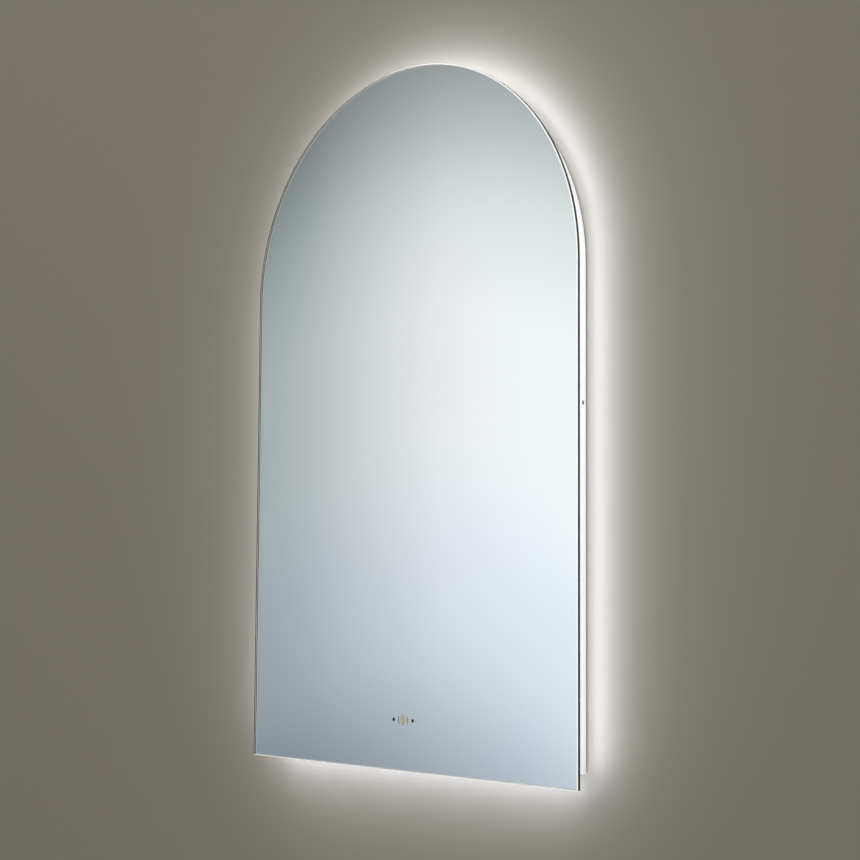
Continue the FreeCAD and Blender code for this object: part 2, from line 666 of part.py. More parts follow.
def post_places():
    """The lid screws' places at the box's four corners, from its centre."""
    across = "(Sizes.box_long / 2 - Sizes.post_inset)"
    up = "(Sizes.box_tall / 2 - Sizes.post_inset)"
    return [(across, up), ("-" + across, up), (across, "-" + up), ("-" + across, "-" + up)]


def box_hole(body, name, plane, lift, first, second, diameter, along_normal):
    """A round hole through one wall of the box."""
    sketch = sketch_on(body, plane, name, lift)
    circle(sketch, first, second, diameter)
    cut(body, sketch, "2 * Sizes.box_wall", along_normal=along_normal)


def driver_box():
    """The moulded tray, open to the back, and the lid that closes it, with vents over the driver."""
    base = new_body("driver_box_base", BOX_REAR, height="Sizes.box_height")
    block = sketch_on(base, "XZ", "box_outline")
    box_corners(block)
    pad = extrude(base, block, "Sizes.box_deep")
    soften(base, pad, deep_edge, "Sizes.box_round")
    hollow = sketch_on(base, "XZ", "box_hollow")
    box_corners(hollow, "Sizes.box_wall")
    cut(base, hollow, "Sizes.box_deep - Sizes.box_wall", along_normal=True)
    posts = sketch_on(base, "XZ", "box_posts")
    for across, up in post_places():
        circle(posts, across, up, "Sizes.post_dia")
    extrude(base, posts, "Sizes.box_deep - Sizes.box_wall / 2")
    pilots = sketch_on(base, "XZ", "post_pilots")
    for across, up in post_places():
        circle(pilots, across, up, "Sizes.screw_dia + 2 * Sizes.screw_clear")
    cut(base, pilots, "Sizes.box_deep / 2", along_normal=True)
    depth = "(%s - %s)" % (LEAD_DEPTH, BOX_REAR)
    lead_hole = "(Sizes.lead_dia + Sizes.lead_clear)"
    box_hole(base, "gland_hole", "XY", "-Sizes.box_tall / 2 - Sizes.box_wall / 2", "Sizes.terminal_across",
             "-Sizes.box_deep / 2", "Sizes.thread_dia + 2 * Sizes.screw_clear", True)
    box_hole(base, "sensor_lead_hole", "XY", "-Sizes.box_tall / 2 - Sizes.box_wall / 2",
             "Sizes.sensor_lead_end", depth, lead_hole, True)
    box_hole(base, "demister_lead_hole", "XY", "Sizes.box_tall / 2 + Sizes.box_wall / 2",
             "Sizes.terminal_across", depth, lead_hole, False)
    box_hole(base, "led_lead_hole", "YZ", "Sizes.box_long / 2 + Sizes.box_wall / 2",
             "%s - %s" % (CHANNEL_MIDDLE, BOX_REAR), "0", lead_hole, False)
    lid = new_body("driver_box_lid", "%s + Sizes.lid_thick" % BOX_REAR, height="Sizes.box_height")
    plate = sketch_on(lid, "XZ", "lid_outline")
    box_corners(plate)
    pad = extrude(lid, plate, "Sizes.lid_thick")
    rounded = soften(lid, pad, deep_edge, "Sizes.box_round")
    soften(lid, rounded, edges_at("Y", "0"), "Sizes.lid_bevel", "Chamfer")
    holes = sketch_on(lid, "XZ", "lid_holes")
    for across, up in post_places():
        circle(holes, across, up, "Sizes.screw_dia + 2 * Sizes.screw_clear")
    cut(lid, holes, along_normal=True)
    vents = sketch_on(lid, "XZ", "lid_vents")
    count = int(number("Sizes.vent_count"))
    for slot in range(count):
        middle = "Sizes.driver_across + Sizes.vent_pitch * %g" % (slot - (count - 1) / 2)
        rectangle(vents, "%s - Sizes.vent_wide / 2" % middle, "%s + Sizes.vent_wide / 2" % middle,
                  "-Sizes.vent_tall / 2", "Sizes.vent_tall / 2")
    cut(lid, vents, along_normal=True)


def driver_box_tape():
    """The bonding pad between the back of the mirror and the driver box."""
    body = new_body("driver_box_tape", FRAME_FRONT, height="Sizes.box_height")
    sketch = sketch_on(body, "XZ", "box_tape_outline")
    box_corners(sketch, "Sizes.box_round")
    extrude(body, sketch, "Sizes.tape_thick")


def led_driver():
    """The potted power supply on the floor of the box, with bevelled rear edges."""
    body = new_body("led_driver", "%s + Sizes.box_wall + Sizes.driver_deep" % FRAME_FRONT,
                    across="Sizes.driver_across", height="Sizes.box_height")
    sketch = sketch_on(body, "XZ", "driver_outline")
    half_long, half_tall = "Sizes.driver_long / 2", "Sizes.driver_tall / 2"
    rectangle(sketch, "-" + half_long, half_long, "-" + half_tall, half_tall)
    pad = extrude(body, sketch, "Sizes.driver_deep")
    soften(body, pad, edges_at("Y", "0"), "Sizes.driver_bevel", "Chamfer")


def terminal_block():
    """The screw terminal block that the mains cable and the heater's lead meet."""
    body = new_body("terminal_block", "%s + Sizes.box_wall + Sizes.terminal_deep" % FRAME_FRONT,
                    across="Sizes.terminal_across", height="Sizes.box_height")
    sketch = sketch_on(body, "XZ", "terminal_outline")
    half_long, half_tall = "Sizes.terminal_long / 2", "Sizes.terminal_tall / 2"
    rectangle(sketch, "-" + half_long, half_long, "-" + half_tall, half_tall)
    extrude(body, sketch, "Sizes.terminal_deep")
    ways = sketch_on(body, "XZ", "terminal_ways")
    count = int(number("Sizes.terminal_ways"))
    for way in range(count):
        place = "Sizes.terminal_long * %g" % ((way + 0.5) / count - 0.5)
        circle(ways, place, "0", "Sizes.terminal_way_dia")
    cut(body, ways, "Sizes.terminal_deep / 2", along_normal=True)


def hexagon(sketch, flats):
    """A hexagon about the sketch's origin, given across its flats."""
    corners = [("%s / 2 * %.6f" % (flats, math.cos(math.pi / 3 * k) / math.cos(math.pi / 6)),
                "%s / 2 * %.6f" % (flats, math.sin(math.pi / 3 * k) / math.cos(math.pi / 6)))
               for k in range(6)]
    outline(sketch, corners)


def gland():
    """The cable gland under the box: body, dome and thread in one, and the locknut inside the wall."""
    middle = "(%s - Sizes.box_deep / 2)" % BOX_REAR
    body = new_body("mains_gland", middle, across="Sizes.terminal_across", height=BOX_BOTTOM)
    nut = sketch_on(body, "XY", "gland_hexagon")
    hexagon(nut, "Sizes.gland_flats")
    extrude(body, nut, "Sizes.gland_hex", backwards=True)
    thread = sketch_on(body, "XY", "gland_thread")
    circle(thread, "0", "0", "Sizes.thread_dia")
    extrude(body, thread, "Sizes.thread_long")
    dome = sketch_on(body, "XY", "gland_dome", "-Sizes.gland_hex")
    circle(dome, "0", "0", "Sizes.gland_dome_dia")
    pad = extrude(body, dome, "Sizes.gland_dome", backwards=True)
    soften(body, pad, edges_at("Z", "-Sizes.gland_hex - Sizes.gland_dome"), "Sizes.gland_bevel", "Chamfer")
    bore = sketch_on(body, "XY", "gland_bore")
    circle(bore, "0", "0", "Sizes.gland_bore_dia")
    cut(body, bore, both=True)
    lock = new_body("gland_locknut", middle, across="Sizes.terminal_across",
                    height="%s + Sizes.box_wall" % BOX_BOTTOM)
    flats = sketch_on(lock, "XY", "locknut_hexagon")
    hexagon(flats, "Sizes.gland_flats")
    circle(flats, "0", "0", "Sizes.thread_dia + 2 * Sizes.slip_clear")
    extrude(lock, flats, "Sizes.locknut_thick")


# ---------------------------------------------------------------- touch controls and demister


def touch_controls():
    """The sensor housing on the back of the mirror and the board in it."""
    shell = new_body("touch_sensor_housing", "%s + Sizes.touch_deep" % SILVER_BACK,
                     height="Sizes.touch_height")
    half_long, half_tall = "Sizes.touch_long / 2", "Sizes.touch_tall / 2"
    sketch = sketch_on(shell, "XZ", "housing_outline")
    rectangle(sketch, "-" + half_long, half_long, "-" + half_tall, half_tall)
    pad = extrude(shell, sketch, "Sizes.touch_deep")
    corners = soften(shell, pad, deep_edge, "Sizes.touch_round")
    soften(shell, corners, edges_at("Y", "0"), "Sizes.touch_bevel", "Chamfer")
    hollow = sketch_on(shell, "XZ", "housing_hollow", "Sizes.touch_wall")
    in_long, in_tall = "(%s - Sizes.touch_wall)" % half_long, "(%s - Sizes.touch_wall)" % half_tall
    rectangle(hollow, "-" + in_long, in_long, "-" + in_tall, in_tall)
    cut(shell, hollow, "Sizes.touch_deep", along_normal=True)
    depth = "(%s - %s - Sizes.touch_deep)" % (LEAD_DEPTH, SILVER_BACK)
    exit_hole = sketch_on(shell, "XY", "housing_lead_hole", half_tall + " + Sizes.touch_wall / 2")
    circle(exit_hole, "Sizes.sensor_lead_start", depth, "Sizes.lead_dia + Sizes.lead_clear")
    cut(shell, exit_hole, "2 * Sizes.touch_wall")
    board = new_body("touch_sensor_board", "%s + Sizes.board_gap + Sizes.board_thick" % SILVER_BACK,
                     height="Sizes.touch_height")
    sketch = sketch_on(board, "XZ", "board_outline")
    long, tall = "(%s - Sizes.board_clear)" % in_long, "(%s - Sizes.board_clear)" % in_tall
    rectangle(sketch, "-" + long, long, "-" + tall, tall)
    extrude(board, sketch, "Sizes.board_thick")
    plug = sketch_on(board, "XZ", "board_plug")
    rectangle(plug, "Sizes.sensor_lead_start - Sizes.plug_long / 2",
              "Sizes.sensor_lead_start + Sizes.plug_long / 2", "%s - Sizes.plug_tall" % tall, tall)
    extrude(board, plug, "Sizes.plug_deep", backwards=True)


def demister():
    """The heating film on the back of the mirror and the moulded tab over its solder joints."""
    body = new_body("demister_pad", "%s + Sizes.pad_thick" % SILVER_BACK)
    film = sketch_on(body, "XZ", "film_outline")
    rectangle(film, "-Sizes.pad_wide / 2", "Sizes.pad_wide / 2", "Sizes.pad_bottom",
              "%s + Sizes.pad_rise" % SPRING)
    pad = extrude(body, film, "Sizes.pad_thick")
    soften(body, pad, deep_edge, "Sizes.pad_round")
    tab = new_body("demister_tab", "%s + Sizes.pad_thick + Sizes.tab_deep" % SILVER_BACK)
    cover = sketch_on(tab, "XZ", "tab_outline")
    rectangle(cover, "Sizes.terminal_across - Sizes.tab_long / 2",
              "Sizes.terminal_across + Sizes.tab_long / 2", "Sizes.pad_bottom",
              "Sizes.pad_bottom + Sizes.tab_tall")
    block = extrude(tab, cover, "Sizes.tab_deep")
    soften(tab, block, edges_at("Y", "0"), "Sizes.tab_bevel", "Chamfer")


# ---------------------------------------------------------------- leads


def lead(label, points):
    """A round lead along straight runs joined by tangent arcs, in one plane of constant depth.

    Each arc is as large as the shorter of its two runs allows.
    """
    edges = []
    start = points[0]
    for before, corner, after in zip(points, points[1:], points[2:]):
        inward, onward = (corner - before), (after - corner)
        turn = inward.getAngle(onward)
        reach = ARC_SHARE * min(inward.Length, onward.Length)
        radius = reach / math.tan(turn / 2)
        print("%s bend radius %.1f" % (label, radius))
        inward.normalize()
        onward.normalize()
        arc_start, arc_end = corner - inward * reach, corner + onward * reach
        middle = corner + (onward - inward).normalize() * (radius / math.cos(turn / 2) - radius)
        edges.append(Part.LineSegment(start, arc_start).toShape())
        edges.append(Part.Arc(arc_start, middle, arc_end).toShape())
        start = arc_end
    edges.append(Part.LineSegment(start, points[-1]).toShape())
    path = Part.Wire(edges)
    radius = number("Sizes.lead_dia / 2")
    ring = Part.Wire([Part.makeCircle(radius, points[0], points[1] - points[0])])
    shape = path.makePipeShell([ring], True, False)
    section = math.pi * radius ** 2
    print("%s volume over section times length %.4f" % (label, shape.Volume / (section * path.Length)))
    feature = doc.addObject("Part::Feature", label)
    feature.Label = label
    feature.Shape = shape
    feature.setExpression("Placement.Base.z", "-Sizes.fix_height")


def leads():
    """The three leads that run behind the glass, each from piece to piece."""
    depth, middle = number(LEAD_DEPTH), number(CHANNEL_MIDDLE)
    start, end = number("Sizes.sensor_lead_start"), number("Sizes.sensor_lead_end")
    low = number("Sizes.touch_height + Sizes.touch_tall / 2 - Sizes.touch_wall - Sizes.board_clear")
    high = number("Sizes.box_height - Sizes.driver_tall / 2")
    jog_low = (low + high - number("Sizes.lead_jog")) / 2
    jog_high = (low + high + number("Sizes.lead_jog")) / 2
    lead("sensor_lead", [V(start, depth, low), V(start, depth, jog_low), V(end, depth, jog_high),
                         V(end, depth, high)])
    across = number("Sizes.terminal_across")
    film, terminals = number("Sizes.pad_bottom"), number("Sizes.box_height + Sizes.terminal_tall / 2")
    lead("demister_lead", [V(across, depth, film), V(across, depth, terminals)])
    height = number("Sizes.box_height")
    driver_end = number("Sizes.driver_across + Sizes.driver_long / 2")
    strip = number("%s - Sizes.channel_deep" % FRAME_HALF)
    lead("led_lead", [V(driver_end, middle, height), V(strip, middle, height)])


def lead_grommet():
    """The rubber ring where the light's lead passes the floor of the channel."""
    body = new_body("lead_grommet", CHANNEL_MIDDLE, across="%s - %s" % (FRAME_HALF, FLOOR_INSET),
                    height="Sizes.box_height")
    lip = sketch_on(body, "YZ", "grommet_lip")
    circle(lip, "0", "0", "Sizes.grommet_dia")
    extrude(body, lip, "Sizes.grommet_lip", backwards=True)
    sleeve = sketch_on(body, "YZ", "grommet_sleeve")
    circle(sleeve, "0", "0", "Sizes.lead_dia + Sizes.grommet_lip - 2 * Sizes.slip_clear")
    extrude(body, sleeve, "Sizes.web_thick")
    bore = sketch_on(body, "YZ", "grommet_bore")
    circle(bore, "0", "0", "Sizes.lead_dia + 2 * Sizes.slip_clear")
    cut(body, bore, both=True)


def clip(place, along, depth):
    """One adhesive clip: a foot on the back of the mirror and a block bored for the lead."""
    wall, base = number("Sizes.clip_wall"), number("Sizes.clip_base")
    long, wide = number("Sizes.clip_long"), number("Sizes.clip_wide")
    bore = number("Sizes.lead_dia / 2 + Sizes.slip_clear")
    back = number(SILVER_BACK)
    half = bore + wall
    foot = Part.makeBox(wide, base, long, V(-wide / 2, back, -long / 2))
    block = Part.makeBox(2 * half, depth + half - back, long, V(-half, back, -long / 2))
    hole = Part.makeCylinder(bore, long, V(0, depth, -long / 2), V(0, 0, 1))
    solid = foot.fuse(block).cut(hole).removeSplitter()
    solid.Placement = FreeCAD.Placement(place, FreeCAD.Rotation(V(0, 0, 1), along))
    return solid.Solids[0]


def lead_clips():
    """Two clips on the sensor's lead and two on the light's lead, each a gap away from a housing."""
    up, right = V(0, 0, 1), V(1, 0, 0)
    deep, middle = number(LEAD_DEPTH), number(CHANNEL_MIDDLE)
    start, end = number("Sizes.sensor_lead_start"), number("Sizes.sensor_lead_end")
    low = number("Sizes.touch_height + Sizes.touch_tall / 2 + Sizes.clip_gap")
    high = number("%s - Sizes.clip_gap" % BOX_BOTTOM)
    height = number("Sizes.box_height")
    box_side = number("Sizes.box_long / 2 + Sizes.clip_gap")
    frame_side = number("%s - Sizes.front_flange - Sizes.clip_gap" % FRAME_HALF)
    solids = [clip(V(start, 0, low), up, deep), clip(V(end, 0, high), up, deep),
              clip(V(box_side, 0, height), right, middle), clip(V(frame_side, 0, height), right, middle)]
    group("lead_clips", solids)


# ---------------------------------------------------------------- build, check and write

mirror_glass()
mirror_silvering()
sensor_windows()
frame_tape()
frame_arch()
frame_bottom()
corner_plates()
diffusers()
led_strips()
led_chips()
wall_rail()
hanging_bar()
lower_bar()
rear_bumpers()
driver_box()
driver_box_tape()
led_driver()
terminal_block()
gland()
touch_controls()
demister()
leads()
lead_grommet()
lead_clips()
doc.recompute()

for item in doc.Objects:
    if "Invalid" in item.State or "Error" in item.State:
        raise ValueError("%s did not build: %s" % (item.Label, item.State))
pieces = [item for item in doc.Objects if item.TypeId == "PartDesign::Body"
          or (item.TypeId == "Part::Feature" and item.getParentGeoFeatureGroup() is None)]
for piece in pieces:
    if piece.Shape.isNull() or not piece.Shape.isValid():
        raise ValueError("%s has no sound shape" % piece.Label)
os.makedirs("parts", exist_ok=True)
for piece in pieces:
    piece.Shape.exportStep("parts/%s.step" % piece.Label)
print("%d pieces, %d solids" % (len(pieces), sum(len(piece.Shape.Solids) for piece in pieces)))
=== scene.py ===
"""Looks of an arched, backlit bathroom mirror: finishes, small fittings, lamps and camera.

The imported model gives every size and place, and this file adds what a maker finishes last. Lengths are
in metres, with X across the mirror, +Y into the wall and +Z up. The room is on negative Y.
"""
import math

import bmesh
import bpy
from bpy.props import FloatProperty, FloatVectorProperty, IntProperty, PointerProperty
from mathutils import Matrix, Vector


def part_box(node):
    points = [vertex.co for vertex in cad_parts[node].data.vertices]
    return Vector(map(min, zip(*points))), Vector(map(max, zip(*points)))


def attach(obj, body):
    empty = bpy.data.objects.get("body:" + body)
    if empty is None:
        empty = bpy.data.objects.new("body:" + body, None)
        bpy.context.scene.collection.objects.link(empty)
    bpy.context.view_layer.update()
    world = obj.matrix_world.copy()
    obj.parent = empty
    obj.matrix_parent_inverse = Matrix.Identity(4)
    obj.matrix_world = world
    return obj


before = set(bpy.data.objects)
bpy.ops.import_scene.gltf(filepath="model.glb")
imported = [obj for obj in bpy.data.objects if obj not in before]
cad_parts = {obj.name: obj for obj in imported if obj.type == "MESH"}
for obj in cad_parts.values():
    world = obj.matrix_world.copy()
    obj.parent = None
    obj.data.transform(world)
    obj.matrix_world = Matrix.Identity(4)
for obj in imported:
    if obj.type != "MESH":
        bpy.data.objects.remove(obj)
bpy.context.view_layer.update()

bl_info = {
    "name": "Backlit Mirror Finisher",
    "version": (1, 0, 0),
    "blender": (4, 5, 0),
    "location": "View3D > Sidebar > Mirror",
    "description": "Finishes, small fittings, lamps and camera for an arched backlit bathroom mirror",
    "category": "Object",
}

UNIT = "mirror_unit"            # the body that lifts off the wall
SHARP = math.radians(32)        # edges that turn more than this stay crisp
SAME_POINT = 1e-7               # points nearer than this are one
QUARTER = math.radians(90)
TO_DEPTH = Matrix.Rotation(-QUARTER, 4, "X")        # turns a flat shape's +Z normal to +Y

# ------------ settings


def colour(label, note, value):
    """A colour setting."""
    return FloatVectorProperty(name=label, description=note, subtype="COLOR", size=3, min=0.0,
                               max=1.0, default=value)


def length(label, note, value):
    """A length setting in metres."""
    return FloatProperty(name=label, description=note, unit="LENGTH", precision=5, default=value)


def angle(label, note, degrees):
    """An angle setting, given here in degrees."""
    return FloatProperty(name=label, description=note, subtype="ANGLE", default=math.radians(degrees))


def amount(label, note, value, subtype="NONE"):
    """A number setting that isn't negative."""
    return FloatProperty(name=label, description=note, subtype=subtype, min=0.0, default=value)


class MirrorFinishes(bpy.types.PropertyGroup):
    """Colours of the mirror's own materials"""
    silver: colour("Silver", "The silver behind the glass", (0.94, 0.955, 0.95))
    backing: colour("Backing paint", "The paint on the back of the silver", (0.30, 0.32, 0.33))
    rim_coat: colour("Rim coat", "The white coat on the back of the mirror's rim", (0.74, 0.74, 0.72))
    glass_edge: colour("Glass edge", "The dark ground edge of the glass", (0.018, 0.019, 0.012))
    # the arris's own pale tone; its material adds a painted glow on top
    arris: colour("Arris", "The light line where the glass's edges are eased", (0.80, 0.83, 0.82))
    powder: colour("Powder coat", "The frame's white powder coat", (0.85, 0.86, 0.83))
    opal: colour("Opal plastic", "The strip that spreads the light", (0.93, 0.93, 0.92))
    light: colour("Light", "The colour of the light round the edge", (0.72, 0.742, 0.985))
    light_level: amount("Light level", "How strongly the opal strip lights things", 1.1)
    shine: amount("Shine", "How bright the opal strip itself looks", 0.5)
    aluminium: colour("Aluminium", "Bars bent from mill-finish sheet", (0.76, 0.77, 0.78))
    zinc: colour("Zinc", "Zinc-plated plates and screws", (0.66, 0.67, 0.66))
    housing: colour("Housing", "Moulded plastic of the boxes", (0.80, 0.80, 0.785))
    film: colour("Heater film", "Amber film on the back of the mirror", (0.62, 0.40, 0.16))
    jacket: colour("Lead jacket", "The leads' plastic jackets", (0.84, 0.84, 0.83))


class MirrorFittings(bpy.types.PropertyGroup):
    """Sizes of the small fittings that are modelled here"""
    head_radius: length("Head radius", "Radius of a screw's head", 0.0028)
    head_height: length("Head height", "Height of a screw's head", 0.0018)
    shank_radius: length("Shank radius", "Radius of a screw's shank", 0.00145)
    shank_length: length("Shank length", "Length of a screw's shank under its head", 0.0046)
    plate_across: length("Plate screw, across", "From a corner plate's outer edge to its screws", 0.007)
    plate_along: length("Plate screw, along", "From a corner plate's corner to its screws", 0.034)
    bar_end: length("Bar screw, end", "From a bar's end to its screws", 0.008)
    bar_top: length("Bar screw, top", "From the hanging bar's top edge to its upper screws", 0.004)
    bar_pitch: length("Bar screw, pitch", "Between the hanging bar's two screws", 0.008)
    lid_corner: length("Lid screw, corner", "From the lid's edges to its screws", 0.0065)
    track_width: length("Track width", "Width of the heater's foil track", 0.0024)
    track_margin: length("Track margin", "From the heater film's edge to the track", 0.012)
    track_rows: IntProperty(name="Track rows", description="Level runs of the heater's track",
                            min=2, default=20)
    rib_count: IntProperty(name="Gland ribs", description="Grip ribs round the gland's dome",
                           min=3, default=20)


class MirrorStage(bpy.types.PropertyGroup):
    """Camera, lamps and backdrop"""
    camera_place: FloatVectorProperty(name="Camera place", description="Where the camera stands",
                                      subtype="TRANSLATION", size=3,
                                      default=(1.3819, -1.4575, -0.3008))
    heading: angle("Heading", "The camera's turn to the left, from straight into the wall", 43.312)
    tilt: angle("Tilt", "The camera's tilt above the horizon", 4.682)
    roll: angle("Roll", "The camera's roll about its own line of sight", -0.369)
    lens: amount("Lens", "Focal length in millimetres on a 36 mm frame", 73.64)
    wall: colour("Wall", "The plain wall behind the mirror", (0.175, 0.166, 0.128))
    floor: colour("Floor", "The plain pale floor", (0.72, 0.72, 0.70))
    backdrop: colour("Backdrop", "What shows beyond the wall", (0.80, 0.80, 0.79))
    wall_half: length("Wall half width", "From the mirror to the wall's ends", 3.0)
    wall_top: length("Wall top", "Height of the wall's top edge", 1.9)
    floor_level: length("Floor level", "Height of the floor", -1.45)
    sky_level: amount("Sky level", "Strength of the light from all round", 0.46)
    key_power: amount("Key power", "Power of the large lamp in the room", 50.0, "POWER")
    glow_level: amount("Glow level", "How strongly the frame's edge lights the wall", 48.0)
    fill_level: amount("Fill level", "How strongly light falls behind the rim", 4.5)
    gap_level: amount("Gap level", "How strongly light fills the gap to the wall", 9.0)
    rear_power: amount("Rear power", "Power of each lamp behind the wall", 26.0, "POWER")


# ------------ short forms for materials


def plug(tree, value, socket):
    """Link an output to an input, or give the input a plain value; colours get a full alpha."""
    if isinstance(value, bpy.types.NodeSocket):
        tree.links.new(value, socket)
    elif socket.type == "RGBA":
        socket.default_value = (*value, 1.0)
    else:
        socket.default_value = value


def fill_inputs(tree, node, values):
    """Plug values into a node's inputs by name; underscores in a name stand for spaces."""
    for name, value in values.items():
        plug(tree, value, node.inputs[name.replace("_", " ")])


def add_node(tree, kind, **values):
    """A new node in a tree, with its inputs."""
    node = tree.nodes.new(kind)
    fill_inputs(tree, node, values)
    return node


def calculate(tree, operation, *values, kind="ShaderNodeMath"):
    """A math node's result, from the values of its inputs in order."""
    node = tree.nodes.new(kind)
    node.operation = operation
    for socket, value in zip(node.inputs, values):
        plug(tree, value, socket)
    return node.outputs["Value"]


def blend_colours(tree, factor, low, high, mode="MIX"):
    """A colour between two others, by a factor from 0 to 1, or their product."""
    node = tree.nodes.new("ShaderNodeMix")
    node.data_type = "RGBA"
    node.blend_type = mode
    for index, value in ((0, factor), (6, low), (7, high)):     # the node's sockets for colours
        plug(tree, value, node.inputs[index])
    return node.outputs[2]


def mix_shaders(tree, factor, first, second):
    """One shader over another, by a factor from 0 to 1."""
    node = tree.nodes.new("ShaderNodeMixShader")
    for socket, value in zip(node.inputs, (factor, first, second)):
        tree.links.new(value, socket)
    return node.outputs[0]


def spread(tree, value, low, high, new_low=0.0, new_high=1.0):
    """A value mapped from one range to another, held at both ends."""
    node = tree.nodes.new("ShaderNodeMapRange")
    bounds = {"Value": value, "From Min": low, "From Max": high, "To Min": new_low, "To Max": new_high}
    fill_inputs(tree, node, bounds)
    return node.outputs["Result"]


def object_place(tree, stretch=(1.0, 1.0, 1.0)):
    """The piece's own coordinates, stretched along its axes."""
    place = tree.nodes.new("ShaderNodeTexCoord").outputs["Object"]
    return add_node(tree, "ShaderNodeMapping", Vector=place, Scale=stretch).outputs["Vector"]


def noise(tree, scale, detail=2.0, roughness=0.5, stretch=(1.0, 1.0, 1.0)):
    """Soft noise over the piece's own coordinates, with its scale in cycles per metre."""
    return add_node(tree, "ShaderNodeTexNoise", Vector=object_place(tree, stretch), Scale=scale,
                    Detail=detail, Roughness=roughness).outputs["Fac"]


def shade(tone, factor, lift=0.0):
    """A colour made darker or lighter by a factor, then lifted evenly."""
    return tuple(factor * channel + lift for channel in tone)


class Finish:
    """A material with one Principled shader, built up node by node."""

    def __init__(self, name, base, roughness, metallic=0.0):
        self.material = bpy.data.materials.new(name)
        self.material.use_nodes = True
        self.tree = self.material.node_tree
        self.shader = self.tree.nodes["Principled BSDF"]
        self.give(Base_Color=base, Roughness=roughness, Metallic=metallic)

    def give(self, **values):
        """Plug values into the shader's sockets by name."""
        fill_inputs(self.tree, self.shader, values)

    def blend(self, factor, low, high, socket="Base Color"):
        """Feed a socket with a colour between two others."""
        self.give(**{socket: blend_colours(self.tree, factor, low, high)})

    def vary_gloss(self, value, low, high, gloss_low, gloss_high):
        """Let the roughness follow a value from one range to another."""
        self.give(Roughness=spread(self.tree, value, low, high, gloss_low, gloss_high))

    def group(self, build, **values):
        """The outputs of a shared effect's group node; the group is built once."""
        shared = bpy.data.node_groups.get(build.__name__) or build()
        node = self.tree.nodes.new("ShaderNodeGroup")
        node.node_tree = shared
        fill_inputs(self.tree, node, values)
        return node.outputs

    def bump(self, height, distance):
        """Raise the surface by a height pattern, with its depth in metres."""
        node = add_node(self.tree, "ShaderNodeBump", Height=height, Distance=distance, Strength=1.0)
        self.give(Normal=node.outputs["Normal"])


def new_group(name, inputs, outputs):
    """A shader node group with named sockets of a kind, its given values and its result."""
    tree = bpy.data.node_groups.new(name, "ShaderNodeTree")
    for side, sockets in (("INPUT", inputs), ("OUTPUT", outputs)):
        for label, kind in sockets.items():
            tree.interface.new_socket(label, in_out=side, socket_type="NodeSocket" + kind)
    return tree, tree.nodes.new("NodeGroupInput").outputs, tree.nodes.new("NodeGroupOutput")


def grain():
    """Fine even grain, as on moulded plastic and powder coat, as a height."""
    tree, given, result = new_group("grain", {"Grains Per Metre": "Float"}, {"Height": "Float"})
    fill_inputs(tree, result, {"Height": noise(tree, given["Grains Per Metre"])})
    return tree


def handling():
    """Faint dust and finger marks: a colour between clean and dusty, and a roughness."""
    tree, given, result = new_group(
        "handling", {"Clean": "Color", "Dusty": "Color", "Amount": "Float", "Gloss": "Float"},
        {"Color": "Color", "Roughness": "Float"})
    clouds, specks = noise(tree, 9.0, 5.0, 0.6), noise(tree, 420.0)
    broad, fine = spread(tree, clouds, 0.42, 0.72), spread(tree, specks, 0.48, 0.66)
    share = calculate(tree, "MULTIPLY", calculate(tree, "MULTIPLY", broad, fine), given["Amount"])
    smears = spread(tree, clouds, 0.3, 0.7, -0.05, 0.09)
    fill_inputs(tree, result, {"Color": blend_colours(tree, share, given["Clean"], given["Dusty"]),
                               "Roughness": calculate(tree, "ADD", given["Gloss"], smears)})
    return tree


def rolling_marks():
    """Long fine lines left by rolling sheet metal, along X: a height and a mask."""
    tree, given, result = new_group("rolling_marks", {"Lines Per Metre": "Float"},
                                    {"Height": "Float", "Mask": "Float"})
    lines = noise(tree, given["Lines Per Metre"], 4.0, 0.65, stretch=(0.012, 1.0, 1.0))
    clouds = noise(tree, 40.0, 3.0, stretch=(0.25, 1.0, 1.0))
    fill_inputs(tree, result, {"Height": lines, "Mask": clouds})
    return tree


def handled(name, base, dusty, dust, gloss):
    """A material with faint dust and finger marks over its colour."""
    finish = Finish(name, base, gloss)
    marks = finish.group(handling, Clean=base, Dusty=dusty, Amount=dust, Gloss=gloss)
    finish.give(Base_Color=marks["Color"], Roughness=marks["Roughness"])
    return finish


def moulded(name, base, gloss, grains, depth, dust=0.25):
    """Moulded plastic or rubber with a fine grain and a little dust."""
    finish = handled(name, base, shade(base, 0.75, 0.12), dust, gloss)
    finish.bump(finish.group(grain, Grains_Per_Metre=grains)["Height"], depth)
    return finish


def rolled_metal(name, base, gloss, lines):
    """Bare sheet metal with the rolling lines along its length."""
    finish = Finish(name, base, gloss, 1.0)
    marks = finish.group(rolling_marks, Lines_Per_Metre=lines)
    finish.blend(spread(finish.tree, marks["Mask"], 0.35, 0.7), base, shade(base, 0.80))
    finish.vary_gloss(marks["Height"], 0.3, 0.7, gloss - 0.08, gloss + 0.12)
    finish.bump(marks["Height"], 0.00002)
    return finish


# ------------ short forms for nodes and pieces


def dress(finish, *nodes):
    """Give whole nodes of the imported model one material."""
    for name in nodes:
        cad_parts[name].material_slots[0].material = finish.material


def dress_by_side(name, sides):
    """Give a node several materials, each for the faces whose normal passes its test."""
    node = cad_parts[name]
    node.data.materials.clear()
    for finish, _ in sides:
        node.data.materials.append(finish.material)
    for face in node.data.polygons:
        face.material_index = next(index for index, (_, test) in enumerate(sides) if test(face.normal))


def new_object(name, shape, material):
    """Turn a bmesh into an object of the scene with one material."""
    mesh = bpy.data.meshes.new(name)
    shape.to_mesh(mesh)
    shape.free()
    mesh.materials.append(material)
    made = bpy.data.objects.new(name, mesh)
    bpy.context.scene.collection.objects.link(made)
    return made


